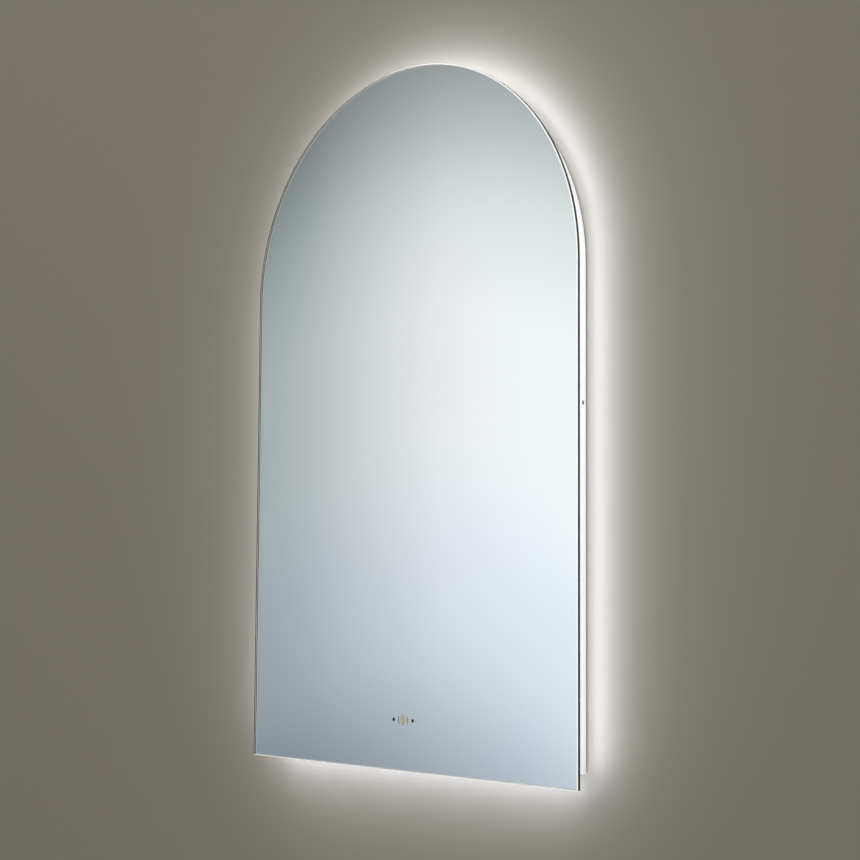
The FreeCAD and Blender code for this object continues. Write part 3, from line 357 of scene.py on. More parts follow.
def clean(shape):
    """Merge a bmesh's doubles and turn its faces outwards."""
    bmesh.ops.remove_doubles(shape, verts=shape.verts, dist=SAME_POINT)
    bmesh.ops.recalc_face_normals(shape, faces=shape.faces)


def new_piece(name, shape, finish):
    """Turn a bmesh into a finished piece that rides with the mirror."""
    clean(shape)
    for face in shape.faces:
        face.smooth = True
    for edge in shape.edges:
        edge.smooth = edge.is_manifold and edge.calc_face_angle(math.pi) < SHARP
    piece = new_object(name, shape, finish.material)
    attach(piece, UNIT)


def turned(shape, profile, sides, turn):
    """Bridge circles of (radius, depth) about the Y axis into one skin; gives their loops of edges."""
    loops = []
    for radius, depth in profile:
        matrix = turn @ Matrix.Translation((0.0, depth, 0.0)) @ TO_DEPTH
        circle = bmesh.ops.create_circle(shape, radius=radius, segments=sides, matrix=matrix)
        loops.append(list({edge for vert in circle["verts"] for edge in vert.link_edges}))
    for before, after in zip(loops, loops[1:]):
        bmesh.ops.bridge_loops(shape, edges=before + after)
    return loops


def block(shape, centre, size):
    """A box by its centre and size."""
    bmesh.ops.create_cube(shape, size=1.0,
                          matrix=Matrix.Translation(centre) @ Matrix.Diagonal((*size, 1.0)))


def extruded(shape, faces):
    """Extrude faces in place; gives the new vertices."""
    made = bmesh.ops.extrude_face_region(shape, geom=faces)["geom"]
    return [item for item in made if isinstance(item, bmesh.types.BMVert)]


def thicken(shape, thick):
    """Make a flat shape solid, with its new faces behind the first."""
    bmesh.ops.translate(shape, vec=(0.0, thick, 0.0), verts=extruded(shape, list(shape.faces)))


# ------------ glass and what lies behind it

GLASS_IOR = 1.52
LOW_GLINT = 0.1         # specular level of the ground edge and the windows, which hardly glint
FLAT_ON = 0.95          # a front's or back's normal has more than this along Y
EDGE_ON = 0.3           # and an edge's normal has less than this
ARRIS_PAINTED_GLOW_COLOUR = (1.0, 0.98, 0.95)     # painted glow on the eased edges, standing in for the strip's light coming through the glass
ARRIS_PAINTED_GLOW_STRENGTH = 0.30


class MIRROR_OT_finish_glass(bpy.types.Operator):
    """Clear glass with dark ground edges and a painted glow on its eased edges, and grey paint on the
    back of the silver
    """
    bl_idname = "mirror.finish_glass"
    bl_label = "Glass and paint"

    def execute(self, context):
        looks = context.scene.mirror_finishes
        glass = Finish("clear_glass", (0.985, 1.0, 0.99), 0.0)
        glass.give(IOR=GLASS_IOR, Transmission_Weight=1.0)
        glass.blend(noise(glass.tree, 3.0), (0.98, 1.0, 0.99), (0.99, 1.0, 0.985))
        edge = Finish("ground_glass_edge", looks.glass_edge, 0.3)
        edge.give(Specular_IOR_Level=LOW_GLINT)
        strokes = noise(edge.tree, 2200.0, 3.0, stretch=(1.0, 0.1, 1.0))
        edge.blend(strokes, looks.glass_edge, shade(looks.glass_edge, 1.5))
        edge.bump(strokes, 0.00002)
        arris = Finish("ground_arris_painted_glow", looks.arris, 0.35)
        # painted glow: the eased edges shine though they are no lamp, for the strip's light seen through
        # the glass
        arris.give(Emission_Color=ARRIS_PAINTED_GLOW_COLOUR, Emission_Strength=ARRIS_PAINTED_GLOW_STRENGTH)
        arris.vary_gloss(noise(arris.tree, 1600.0), 0.3, 0.7, 0.28, 0.42)
        dress_by_side("mirror_glass", [
            (glass, lambda normal: abs(normal.y) > FLAT_ON),
            (edge, lambda normal: abs(normal.y) < EDGE_ON),
            (arris, lambda normal: True),
        ])
        dress(backing_paint(looks), "mirror_silvering")
        smoked = moulded("smoked_window", (0.006, 0.008, 0.011), gloss=0.12, grains=900.0,
                         depth=0.000002, dust=0.1)
        smoked.give(Specular_IOR_Level=LOW_GLINT)
        dress(smoked, "sensor_windows")
        foam = moulded("foam_tape", (0.80, 0.80, 0.77), gloss=0.8, grains=2600.0, depth=0.00012, dust=0.3)
        dress(foam, "frame_tape", "driver_box_tape")
        return {"FINISHED"}


def backing_paint(looks):
    """Grey paint on the silver's back, with a white coat on the rim that stands outside the frame."""
    paint = moulded("backing_paint", looks.backing, gloss=0.5, grains=700.0, depth=0.00003, dust=0.5)
    tree, grey = paint.tree, paint.shader.inputs["Base Color"].links[0].from_socket
    low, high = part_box("frame_arch")
    half, spring = high.x, high.z - high.x
    axes = add_node(tree, "ShaderNodeSeparateXYZ", Vector=object_place(tree)).outputs
    head = calculate(tree, "MAXIMUM", calculate(tree, "SUBTRACT", axes["Z"], spring), 0.0)
    reach = add_node(tree, "ShaderNodeCombineXYZ", X=axes["X"], Z=head).outputs[0]
    far = calculate(tree, "LENGTH", reach, kind="ShaderNodeVectorMath")
    rim = calculate(tree, "MAXIMUM", calculate(tree, "GREATER_THAN", far, half),
                    calculate(tree, "LESS_THAN", axes["Z"], low.z))
    paint.blend(rim, grey, looks.rim_coat)
    return paint


FILM_FRONT = 0.00004    # the silver film's front face and thickness, just inside the glass's back
FILM_THICK = 0.00002


class MIRROR_OT_add_silver_film(bpy.types.Operator):
    """The bright silver film between the glass and the backing paint"""
    bl_idname = "mirror.add_silver_film"
    bl_label = "Silver film"

    def execute(self, context):
        looks = context.scene.mirror_finishes
        silver = Finish("silver_film", looks.silver, 0.0, 1.0)
        silver.blend(noise(silver.tree, 5.0), looks.silver, shade(looks.silver, 0.99))
        shape = bmesh.new()
        shape.from_mesh(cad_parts["mirror_silvering"].data)
        clean(shape)
        not_front = [face for face in shape.faces if face.normal.y > -FLAT_ON]
        bmesh.ops.delete(shape, geom=not_front, context="FACES")
        bmesh.ops.translate(shape, vec=(0.0, -FILM_FRONT, 0.0), verts=shape.verts)
        thicken(shape, FILM_THICK)
        new_piece("silver_film", shape, silver)
        return {"FINISHED"}


# The touch sign is a plain pointing hand, drawn in millimetres from the middle of the two touch points.
HAND = ((-3.4, 4.6), (-2.6, 6.2), (0.9, 6.2), (1.7, 4.6), (1.8, 1.6), (2.6, 1.3), (4.2, 1.0), (4.5, 0.0),
        (3.3, -2.6), (1.9, -5.0), (0.5, -6.3), (-1.7, -6.3), (-3.2, -3.6), (-3.8, -0.6))
HAND_ROUND = 0.0004
ARC_RADIUS = 0.00725    # the two arcs beside the hand
ARC_WIDTH = 0.0009
ARC_SWEEP = math.radians(72)
ARC_STEPS = 20
PRINT_FRONT = 0.00013   # the print's front face and thickness, just in front of the silver film
PRINT_THICK = 0.00007
SIGN_PAINTED_GLOW_COLOUR = (1.0, 0.78, 0.33)      # painted glow: the print shines faintly, as if lit from behind, though it is no lamp
SIGN_PAINTED_GLOW_STRENGTH = 0.17


class MIRROR_OT_add_touch_print(bpy.types.Operator):
    """The hand and the two arcs between the touch points"""
    bl_idname = "mirror.add_touch_print"
    bl_label = "Touch print"

    def execute(self, context):
        low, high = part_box("sensor_windows")
        middle = (low + high) / 2
        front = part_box("mirror_silvering")[0].y - PRINT_FRONT
        amber = Finish("amber_print_painted_glow", (0.78, 0.71, 0.38), 0.45)
        # painted glow over the print's own amber colour
        amber.give(Emission_Color=SIGN_PAINTED_GLOW_COLOUR, Emission_Strength=SIGN_PAINTED_GLOW_STRENGTH)
        amber.blend(noise(amber.tree, 260.0), (0.70, 0.65, 0.36), (0.86, 0.77, 0.42))
        hand = bmesh.new()
        corners = [hand.verts.new((middle.x + across / 1000, front, middle.z + up / 1000))
                   for across, up in HAND]
        hand.faces.new(corners)
        bmesh.ops.bevel(hand, geom=corners, offset=HAND_ROUND, segments=3, profile=0.5,
                        affect="VERTICES", material=-1)
        thicken(hand, PRINT_THICK)
        new_piece("touch_hand", hand, amber)
        grey = Finish("grey_print", (0.22, 0.25, 0.24), 0.5)
        grey.blend(noise(grey.tree, 300.0), (0.20, 0.23, 0.22), (0.27, 0.28, 0.22))
        inner, outer, back = ARC_RADIUS - ARC_WIDTH / 2, ARC_RADIUS + ARC_WIDTH / 2, front + PRINT_THICK
        arcs = bmesh.new()
        for side in (-1, 1):
            start = Matrix.Translation(middle) @ Matrix.Rotation(-side * ARC_SWEEP / 2, 4, "Y")
            end = arcs.faces.new([
                arcs.verts.new(start @ Vector((side * radius, depth - middle.y, 0.0)))
                for radius, depth in ((inner, front), (outer, front), (outer, back), (inner, back))])
            bmesh.ops.spin(arcs, geom=[end, *end.edges, *end.verts], cent=middle, axis=(0, 1, 0),
                           angle=side * ARC_SWEEP, steps=ARC_STEPS)
        new_piece("touch_arcs", arcs, grey)
        return {"FINISHED"}


# ------------ frame and light


class MIRROR_OT_finish_frame(bpy.types.Operator):
    """White powder coat on the frame"""
    bl_idname = "mirror.finish_frame"
    bl_label = "Frame"

    def execute(self, context):
        looks = context.scene.mirror_finishes
        coat = moulded("white_powder_coat", looks.powder, gloss=0.36, grains=1300.0, depth=0.00003,
                       dust=0.12)
        dress(coat, "frame_arch", "frame_bottom")
        return {"FINISHED"}


class MIRROR_OT_finish_light(bpy.types.Operator):
    """The shining opal strip and the circuit and lamps behind it"""
    bl_idname = "mirror.finish_light"
    bl_label = "Light"

    def execute(self, context):
        looks = context.scene.mirror_finishes
        opal = Finish("opal_strip", looks.opal, 0.3)
        seen = opal.tree.nodes.new("ShaderNodeLightPath").outputs["Is Camera Ray"]
        opal.give(Emission_Strength=calculate(opal.tree, "MULTIPLY_ADD", seen,
                                              looks.shine - looks.light_level, looks.light_level))
        opal.blend(noise(opal.tree, 55.0, 1.0), looks.light, shade(looks.light, 0.93), "Emission Color")
        opal.bump(opal.group(grain, Grains_Per_Metre=2200.0)["Height"], 0.00001)
        dress(opal, "diffuser_arch", "diffuser_bottom")
        circuit = moulded("white_circuit", (0.88, 0.88, 0.85), gloss=0.4, grains=600.0, depth=0.00001)
        dress(circuit, "led_strip_arch", "led_strip_bottom")
        phosphor = moulded("lamp_phosphor", (0.90, 0.78, 0.32), gloss=0.35, grains=2400.0,
                           depth=0.00002, dust=0.1)
        dress(phosphor, "led_chips_arch", "led_chips_bottom")
        return {"FINISHED"}


# ------------ hanging parts and screws


class MIRROR_OT_finish_hangers(bpy.types.Operator):
    """Mill-finish bars and black rubber feet"""
    bl_idname = "mirror.finish_hangers"
    bl_label = "Bars and feet"

    def execute(self, context):
        looks = context.scene.mirror_finishes
        dress(rolled_metal("mill_aluminium", looks.aluminium, gloss=0.34, lines=700.0), "hanging_bar",
              "wall_rail", "lower_bar")
        rubber = moulded("black_rubber", (0.028, 0.028, 0.030), gloss=0.72, grains=1500.0,
                         depth=0.00004, dust=0.6)
        dress(rubber, "rear_bumpers", "lead_grommet")
        return {"FINISHED"}


SHEET_THICK = 0.0016            # the bent bars' sheet, which their screws go through
SCREW_SIDES = 24
SCREW_TURN = math.radians(37)   # each screw stops at its own angle
TIP_SHARE = 0.35                # the flat at a screw's tip, as a share of the shank's radius
HEAD_CURVE = ((1.0, 0.42), (0.9, 0.76), (0.72, 1.0))    # shares of the head's radius and height
CROSS_REACH = 0.62              # the cross recess's reach, as a share of the head's radius
CROSS_WIDTH = 0.24              # the width of its arms, as a share of that reach
CROSS_FLOOR = 0.7               # the size of its floor, as a share of its mouth
CROSS_DEPTH = 0.0011


def zinc_plate(looks):
    """Zinc plating with its soft crystal pattern."""
    finish = Finish("zinc_plate", looks.zinc, 0.34, 1.0)
    crystals = add_node(finish.tree, "ShaderNodeTexVoronoi", Vector=object_place(finish.tree),
                        Scale=260.0).outputs["Distance"]
    cool = tuple(channel * factor for channel, factor in zip(looks.zinc, (0.80, 0.84, 0.90)))
    finish.blend(spread(finish.tree, crystals, 0.0, 0.8), looks.zinc, cool)
    finish.vary_gloss(crystals, 0.0, 0.8, 0.28, 0.45)
    finish.bump(crystals, 0.000015)
    return finish


def cross_recess(shape, reach, top, turn):
    """A cross recess with sloping walls, sunk from a depth; gives the loop of edges at its mouth."""
    matrix = turn @ Matrix.Translation((0.0, top, 0.0)) @ TO_DEPTH
    made = bmesh.ops.create_grid(shape, x_segments=3, y_segments=3, size=1.0)["verts"]
    for vert in made:       # the grid's inner lines, a third of the way out, move to the arms' sides
        vert.co = Vector([value if abs(value) > 0.9 else math.copysign(CROSS_WIDTH, value)
                          for value in vert.co.xy] + [0.0]) * reach
    faces = list({face for vert in made for face in vert.link_faces})
    corners = [face for face in faces
               if min(abs(face.calc_center_median().x), abs(face.calc_center_median().y)) > 0.1 * reach]
    bmesh.ops.delete(shape, geom=corners, context="FACES")
    cross = [face for face in faces if face.is_valid]
    mouth = list({edge for face in cross for edge in face.edges if edge.is_boundary})
    floor = extruded(shape, cross)
    for vert in floor:
        vert.co = Vector((CROSS_FLOOR * vert.co.x, CROSS_FLOOR * vert.co.y, -CROSS_DEPTH))
    bmesh.ops.delete(shape, geom=cross, context="FACES_ONLY")
    everything = {vert for edge in mouth for vert in edge.verts} | set(floor)
    bmesh.ops.transform(shape, matrix=matrix, verts=list(everything))
    return mouth


def add_screw(shape, sizes, place, turn_angle):
    """One pan-head screw with its head towards +Y and its head's underside at a place."""
    turn = Matrix.Translation(place) @ Matrix.Rotation(turn_angle, 4, "Y")
    radius, high = sizes.head_radius, sizes.head_height
    shank, tip = sizes.shank_radius, -sizes.shank_length
    profile = [(TIP_SHARE * shank, tip), (shank, tip + shank), (shank, 0.0), (radius, 0.0)]
    profile += [(across * radius, up * high) for across, up in HEAD_CURVE]
    loops = turned(shape, profile, SCREW_SIDES, turn)
    bmesh.ops.contextual_create(shape, geom=loops[0])
    mouth = cross_recess(shape, CROSS_REACH * radius, high, turn)
    bmesh.ops.bridge_loops(shape, edges=loops[-1] + mouth)


class MIRROR_OT_add_screws(bpy.types.Operator):
    """Zinc on the corner plates and on the screws of the plates, the bars and the driver box's lid"""
    bl_idname = "mirror.add_screws"
    bl_label = "Screws"

    def execute(self, context):
        sizes = context.scene.mirror_fittings
        finish = zinc_plate(context.scene.mirror_finishes)
        dress(finish, "corner_plates")
        plates, bar, lower, lid = (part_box(name) for name in (
            "corner_plates", "hanging_bar", "lower_bar", "driver_box_lid"))
        leg = (plates[1].x - sizes.plate_across, plates[0].z + sizes.plate_along)
        foot = (plates[1].x - sizes.plate_along, plates[0].z + sizes.plate_across)
        upper = (bar[1].x - sizes.bar_end, bar[1].z - sizes.bar_top)
        second = (upper[0], upper[1] - sizes.bar_pitch)
        low = (lower[1].x - sizes.bar_end, (lower[0].z + lower[1].z) / 2)
        corner = sizes.lid_corner
        lid_places = [(lid[1].x - corner, lid[1].z - corner), (lid[1].x - corner, lid[0].z + corner)]
        sheet = plates[0].y + SHEET_THICK
        groups = {
            "corner_screws": (plates[1].y, [leg, foot]),
            "hanging_bar_screws": (sheet, [upper, second]),
            "lower_bar_screws": (sheet, [low]),
            "lid_screws": (lid[1].y, lid_places),
        }
        for name, (depth, places) in groups.items():
            shape = bmesh.new()
            both = places + [(-across, height) for across, height in places]
            for index, (across, height) in enumerate(both):
                add_screw(shape, sizes, (across, depth, height), index * SCREW_TURN)
            new_piece(name, shape, finish)
        return {"FINISHED"}


# ------------ driver box, controls, heater and leads


class MIRROR_OT_finish_electrics(bpy.types.Operator):
    """Boxes, boards, leads and clips on the back of the mirror"""
    bl_idname = "mirror.finish_electrics"
    bl_label = "Electrics"

    def execute(self, context):
        looks = context.scene.mirror_finishes
        box = moulded("box_plastic", looks.housing, gloss=0.48, grains=1700.0, depth=0.00004)
        dress(box, "driver_box_base", "driver_box_lid", "touch_sensor_housing")
        case = moulded("driver_case", (0.82, 0.82, 0.80), gloss=0.4, grains=1400.0, depth=0.00003)
        dress(case, "led_driver")
        terminal = moulded("terminal_plastic", (0.80, 0.77, 0.64), gloss=0.45, grains=1100.0,
                           depth=0.00002)
        dress(terminal, "terminal_block")
        nylon = moulded("black_nylon", (0.030, 0.030, 0.032), gloss=0.42, grains=1800.0,
                        depth=0.00002, dust=0.35)
        dress(nylon, "mains_gland", "gland_locknut", "demister_tab")
        clip = moulded("clip_nylon", (0.74, 0.74, 0.70), gloss=0.4, grains=1300.0, depth=0.00002,
                       dust=0.2)
        dress(clip, "lead_clips")
        dress(circuit_board(), "touch_sensor_board")
        dress(lead_jacket(looks), "demister_lead", "led_lead", "sensor_lead")
        dress(heater_film(looks), "demister_pad")
        return {"FINISHED"}


def circuit_board():
    """Green solder mask over copper tracks."""
    finish = Finish("circuit_board", (0.03, 0.16, 0.07), 0.3)
    tracks = add_node(finish.tree, "ShaderNodeTexBrick", Vector=object_place(finish.tree), Scale=90.0,
                      Color1=(0.03, 0.16, 0.07), Color2=(0.04, 0.20, 0.09), Mortar=(0.10, 0.30, 0.14),
                      Mortar_Size=0.04)
    finish.give(Base_Color=tracks.outputs["Color"])
    finish.bump(tracks.outputs["Fac"], 0.00003)
    return finish


def lead_jacket(looks):
    """Soft plastic jackets with a faint ripple from the cores inside."""
    finish = handled("lead_jacket", looks.jacket, (0.62, 0.61, 0.58), dust=0.4, gloss=0.4)
    ripple = add_node(finish.tree, "ShaderNodeTexWave", Vector=object_place(finish.tree), Scale=60.0,
                      Distortion=1.5)
    finish.bump(ripple.outputs["Fac"], 0.00004)
    return finish


def heater_film(looks):
    """Amber film, glossy and slightly wavy where it is stuck down."""
    finish = Finish("heater_film", looks.film, 0.26)
    waves = noise(finish.tree, 28.0)
    finish.blend(waves, looks.film, shade(looks.film, 0.82))
    finish.vary_gloss(waves, 0.3, 0.7, 0.2, 0.34)
    finish.bump(waves, 0.0006)
    return finish


TRACK_THICK = 0.00012
BEND_STEPS = 12


class MIRROR_OT_add_heater_track(bpy.types.Operator):
    """The foil track that winds over the heater film"""
    bl_idname = "mirror.add_heater_track"
    bl_label = "Heater track"

    def execute(self, context):
        sizes = context.scene.mirror_fittings
        film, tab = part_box("demister_pad"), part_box("demister_tab")
        margin, half = sizes.track_margin, sizes.track_width / 2
        left, right = film[0].x + margin, film[1].x - margin
        bottom, top = film[0].z + margin / 2, film[1].z - margin
        pitch = (top - bottom) / (sizes.track_rows - 1)
        back = film[1].y
        middle = back + TRACK_THICK / 2
        inner_left = left + 2 * pitch
        tab_end = (tab[0].x + tab[1].x) / 2 - 2 * half
        shape = bmesh.new()
        block(shape, (left, middle, (top + bottom) / 2), (2 * half, TRACK_THICK, top - bottom + 2 * half))
        block(shape, ((left + tab_end) / 2, middle, bottom), (tab_end - left, TRACK_THICK, 2 * half))
        for row in range(sizes.track_rows):
            height = top - row * pitch
            last = row == sizes.track_rows - 1
            start = left if row == 0 else tab_end + 4 * half if last else inner_left
            block(shape, ((start + right) / 2, middle, height), (right - start, TRACK_THICK, 2 * half))
            if not last:
                turn_x, side = (right, 1) if row % 2 == 0 else (inner_left, -1)
                bend_track(shape, turn_x, height - pitch / 2, back, pitch / 2, half, side)
        foil = rolled_metal("heater_foil", (0.72, 0.70, 0.66), gloss=0.3, lines=1200.0)
        new_piece("heater_track", shape, foil)
        return {"FINISHED"}


def bend_track(shape, across, height, back, radius, half, side):
    """One half turn of the track between two rows; side is 1 where it bulges to the right."""
    corners = [shape.verts.new((across, back + depth, height + radius + up))
               for depth, up in ((0.0, -half), (0.0, half), (TRACK_THICK, half), (TRACK_THICK, -half))]
    end = shape.faces.new(corners)
    bmesh.ops.spin(shape, geom=[end, *end.edges, *end.verts], cent=(across, back, height),
                   axis=(0, 1, 0), angle=side * math.pi, steps=BEND_STEPS)


DOME_RADIUS = 0.007         # the gland's dome, and the grip ribs on it
RIB_SIZE = (0.0009, 0.0011, 0.0045)
RIB_CENTRE = 0.0047         # height of the ribs' middle above the gland's mouth
RIB_ROUND = 0.0003
SEAL_SIDES = 32
SEAL_BORE = 0.0027          # the rubber seal's radii, length and eased lip
SEAL_OUTER = 0.00328
SEAL_LONG = 0.004
SEAL_LIP = 0.0004


class MIRROR_OT_add_gland_details(bpy.types.Operator):
    """Grip ribs round the gland's dome and the rubber seal in its bore"""
    bl_idname = "mirror.add_gland_details"
    bl_label = "Gland details"

    def execute(self, context):
        sizes = context.scene.mirror_fittings
        low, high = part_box("mains_gland")
        axis = Vector(((low.x + high.x) / 2, (low.y + high.y) / 2, 0.0))
        ribs = bmesh.new()
        block(ribs, (axis.x + DOME_RADIUS, axis.y, low.z + RIB_CENTRE), RIB_SIZE)
        bmesh.ops.bevel(ribs, geom=list(ribs.edges), offset=RIB_ROUND, segments=2, profile=0.5,
                        affect="EDGES", material=-1)
        bmesh.ops.spin(ribs, geom=list(ribs.faces), cent=axis, axis=(0, 0, 1), angle=math.tau,
                       steps=sizes.rib_count, use_duplicate=True, use_merge=True)
        grip = moulded("gland_grip", (0.030, 0.030, 0.032), gloss=0.5, grains=1800.0, depth=0.00002)
        new_piece("gland_ribs", ribs, grip)
        seal = bmesh.new()
        upright = Matrix.Translation((axis.x, axis.y, low.z)) @ Matrix.Rotation(QUARTER, 4, "X")
        lip = SEAL_BORE + SEAL_LIP
        profile = [(SEAL_BORE, SEAL_LIP), (lip, 0.0), (SEAL_OUTER, 0.0), (SEAL_OUTER, SEAL_LONG),
                   (lip, SEAL_LONG), (SEAL_BORE, SEAL_LONG - SEAL_LIP)]
        loops = turned(seal, profile, SEAL_SIDES, upright)
        bmesh.ops.bridge_loops(seal, edges=loops[-1] + loops[0])
        rubber = moulded("seal_rubber", (0.05, 0.05, 0.052), gloss=0.7, grains=1500.0, depth=0.00003)
        new_piece("gland_seal", seal, rubber)
        return {"FINISHED"}


# ------------ stage, lamps and camera

FACING_ROOM = Matrix.Rotation(QUARTER, 4, "X")      # turns a flat shape's +Z normal to -Y
WALL_BEHIND = 0.0004                # the stage's wall stands this far behind the real one's surface
FLOOR_MIDDLE = (0.0, -1.0)
FLOOR_SIZE = (8.0, 8.0)
CARD_CENTRE = (-1.40, -1.4575, 0.10)    # the card stands as far from the wall as the camera does
CARD_SIZE = (2.2, 2.6)
CARD_BOW = 0.6                      # how much its level bands drop to the sides, per metre squared
CARD_BOW_MIDDLE = -1.36
CARD_HEIGHTS = (-0.9, 0.9)          # where its upright and its sideways fade run
CARD_WIDTHS = (-2.0, -0.8)
CARD_NEAR_END = (-0.80, -0.35)      # where it thins out at its two ends
CARD_FAR_END = (-2.45, -2.0)
CARD_UPRIGHT = ((0.0, (0.30, 0.32, 0.37)), (0.2, (0.69, 0.73, 0.79)), (0.4, (0.93, 0.95, 1.0)),
                (0.66, (1.0, 1.0, 1.0)), (0.84, (0.74, 0.755, 0.75)), (1.0, (0.34, 0.36, 0.355)))
CARD_SIDEWAYS = ((0.0, (0.36, 0.405, 0.425)), (0.3, (0.555, 0.585, 0.605)),
                 (0.6, (0.855, 0.865, 0.89)), (1.0, (0.96, 0.99, 1.04)))
ROOM_TONES = ((0.0, (0.30, 0.34, 0.38)), (0.30, (0.42, 0.47, 0.52)), (0.50, (0.78, 0.82, 0.85)),
              (0.70, (0.86, 0.88, 0.89)), (1.0, (0.62, 0.64, 0.65)))
ARCH_LAMPS = 24
# Each chain of edge lamps: its offset outside the frame, depth, width, and turn from facing the wall.
OUTWARD_LAMPS = (0.0006, -0.0211, 0.0118, QUARTER)
GAP_LAMPS = (0.0014, -0.003, 0.002, 0.0)
REARWARD_LAMPS = (0.006, -0.022, 0.006, 0.0)
NEAR_CLIP = 0.05        # nothing nearer than this hides the view
SOFTBOX_AIM = Vector((0.0, 0.0, -0.12))
# Each softbox: its place, size, the setting and share of its power, and whether gloss shows it.
SOFTBOXES = {
    "key_softbox": ((-0.9, -2.6, 1.5), 1.8, "key_power", 1.0, False),
    "side_softbox": ((2.0, -2.2, 0.8), 1.6, "key_power", 0.4, False),
    "rear_softbox_left": ((-1.3, 1.9, 0.9), 1.3, "rear_power", 1.0, True),
    "rear_softbox_right": ((0.9, 2.2, 0.5), 1.1, "rear_power", 1.0, True),
}


def bare_tree(owner):
    """The emptied node tree of a material or world."""
    owner.use_nodes = True
    owner.node_tree.nodes.clear()
    return owner.node_tree


def one_sided(name, base):
    """A matt surface that shows only from its front; lamps shine through it and its back is clear."""
    material = bpy.data.materials.new(name)
    tree = bare_tree(material)
    behind = tree.nodes.new("ShaderNodeNewGeometry").outputs["Backfacing"]
    shadow = tree.nodes.new("ShaderNodeLightPath").outputs["Is Shadow Ray"]
    matt = add_node(tree, "ShaderNodeBsdfDiffuse", Color=base).outputs[0]
    clear = tree.nodes.new("ShaderNodeBsdfTransparent").outputs[0]
    shown = mix_shaders(tree, calculate(tree, "MAXIMUM", behind, shadow), matt, clear)
    add_node(tree, "ShaderNodeOutputMaterial", Surface=shown)
    return material


def stage_plane(name, centre, size, turn, material):
    """A flat rectangle of the stage, with its front along the turned +Z axis."""
    shape = bmesh.new()
    matrix = Matrix.Translation(centre) @ turn @ Matrix.Diagonal((*size, 1.0, 1.0))
    bmesh.ops.create_grid(shape, x_segments=1, y_segments=1, size=0.5, matrix=matrix)
    plane = new_object(name, shape, material)
    return plane


def ramp(tree, value, stops):
    """A colour ramp over a value, from (position, colour) stops."""
    node = add_node(tree, "ShaderNodeValToRGB", Fac=value)
    node.color_ramp.interpolation = "CARDINAL"
    while len(node.color_ramp.elements) < len(stops):
        node.color_ramp.elements.new(0.5)
    for element, (position, tone) in zip(node.color_ramp.elements, stops):
        element.position = position
        element.color = (*tone, 1.0)
    return node.outputs["Color"]


def reflected_card():
    """The softly shaded card that the mirror shows from the camera's side; it lights nothing."""
    material = bpy.data.materials.new("reflected_card")
    tree = bare_tree(material)
    axes = add_node(tree, "ShaderNodeSeparateXYZ", Vector=object_place(tree)).outputs
    beside = calculate(tree, "SUBTRACT", axes["X"], CARD_BOW_MIDDLE)
    squared = calculate(tree, "MULTIPLY", beside, beside)
    bowed = calculate(tree, "MULTIPLY_ADD", squared, CARD_BOW, axes["Z"])
    upright = ramp(tree, spread(tree, bowed, *CARD_HEIGHTS), CARD_UPRIGHT)
    sideways = ramp(tree, spread(tree, axes["X"], *CARD_WIDTHS), CARD_SIDEWAYS)
    tone = blend_colours(tree, 1.0, upright, sideways, "MULTIPLY")
    shine = add_node(tree, "ShaderNodeEmission", Color=tone, Strength=1.0).outputs[0]
    clear = tree.nodes.new("ShaderNodeBsdfTransparent").outputs[0]
    near = spread(tree, axes["X"], *CARD_NEAR_END, 1.0, 0.0)
    far = spread(tree, axes["X"], *CARD_FAR_END)
    shown = mix_shaders(tree, calculate(tree, "MULTIPLY", near, far), clear, shine)
    add_node(tree, "ShaderNodeOutputMaterial", Surface=shown)
    material.cycles.emission_sampling = "NONE"
    return material


def set_world(stage):
    """Even light from all round, and soft tones for what the camera, gloss and glass see."""
    world = bpy.data.worlds.new("studio")
    bpy.context.scene.world = world
    tree = bare_tree(world)
    path = tree.nodes.new("ShaderNodeLightPath").outputs
    place = tree.nodes.new("ShaderNodeTexCoord").outputs["Generated"]
    height = add_node(tree, "ShaderNodeSeparateXYZ", Vector=place).outputs["Z"]
    tones = ramp(tree, spread(tree, height, -0.5, 0.5), ROOM_TONES)
    reflected = calculate(tree, "MAXIMUM", path["Is Glossy Ray"], path["Is Transmission Ray"])
    lit, mirrored, seen = (
        add_node(tree, "ShaderNodeBackground", Color=tone, Strength=level).outputs[0]
        for tone, level in (((1.0, 1.0, 1.0), stage.sky_level), (tones, 1.0), (stage.backdrop, 1.0)))
    around = mix_shaders(tree, reflected, lit, mirrored)
    add_node(tree, "ShaderNodeOutputWorld",
             Surface=mix_shaders(tree, path["Is Camera Ray"], around, seen))


def area_lamp(name, size, energy, place, seen):
    """A rectangular lamp, with its place as a matrix; gloss and glass show it where it is seen."""
    lamp = bpy.data.lights.new(name, "AREA")
    lamp.shape = "RECTANGLE"
    lamp.size, lamp.size_y = size
    lamp.energy = energy
    made = bpy.data.objects.new(name, lamp)
    made.matrix_world = place
    made.visible_glossy = made.visible_transmission = seen
    bpy.context.scene.collection.objects.link(made)
    return made


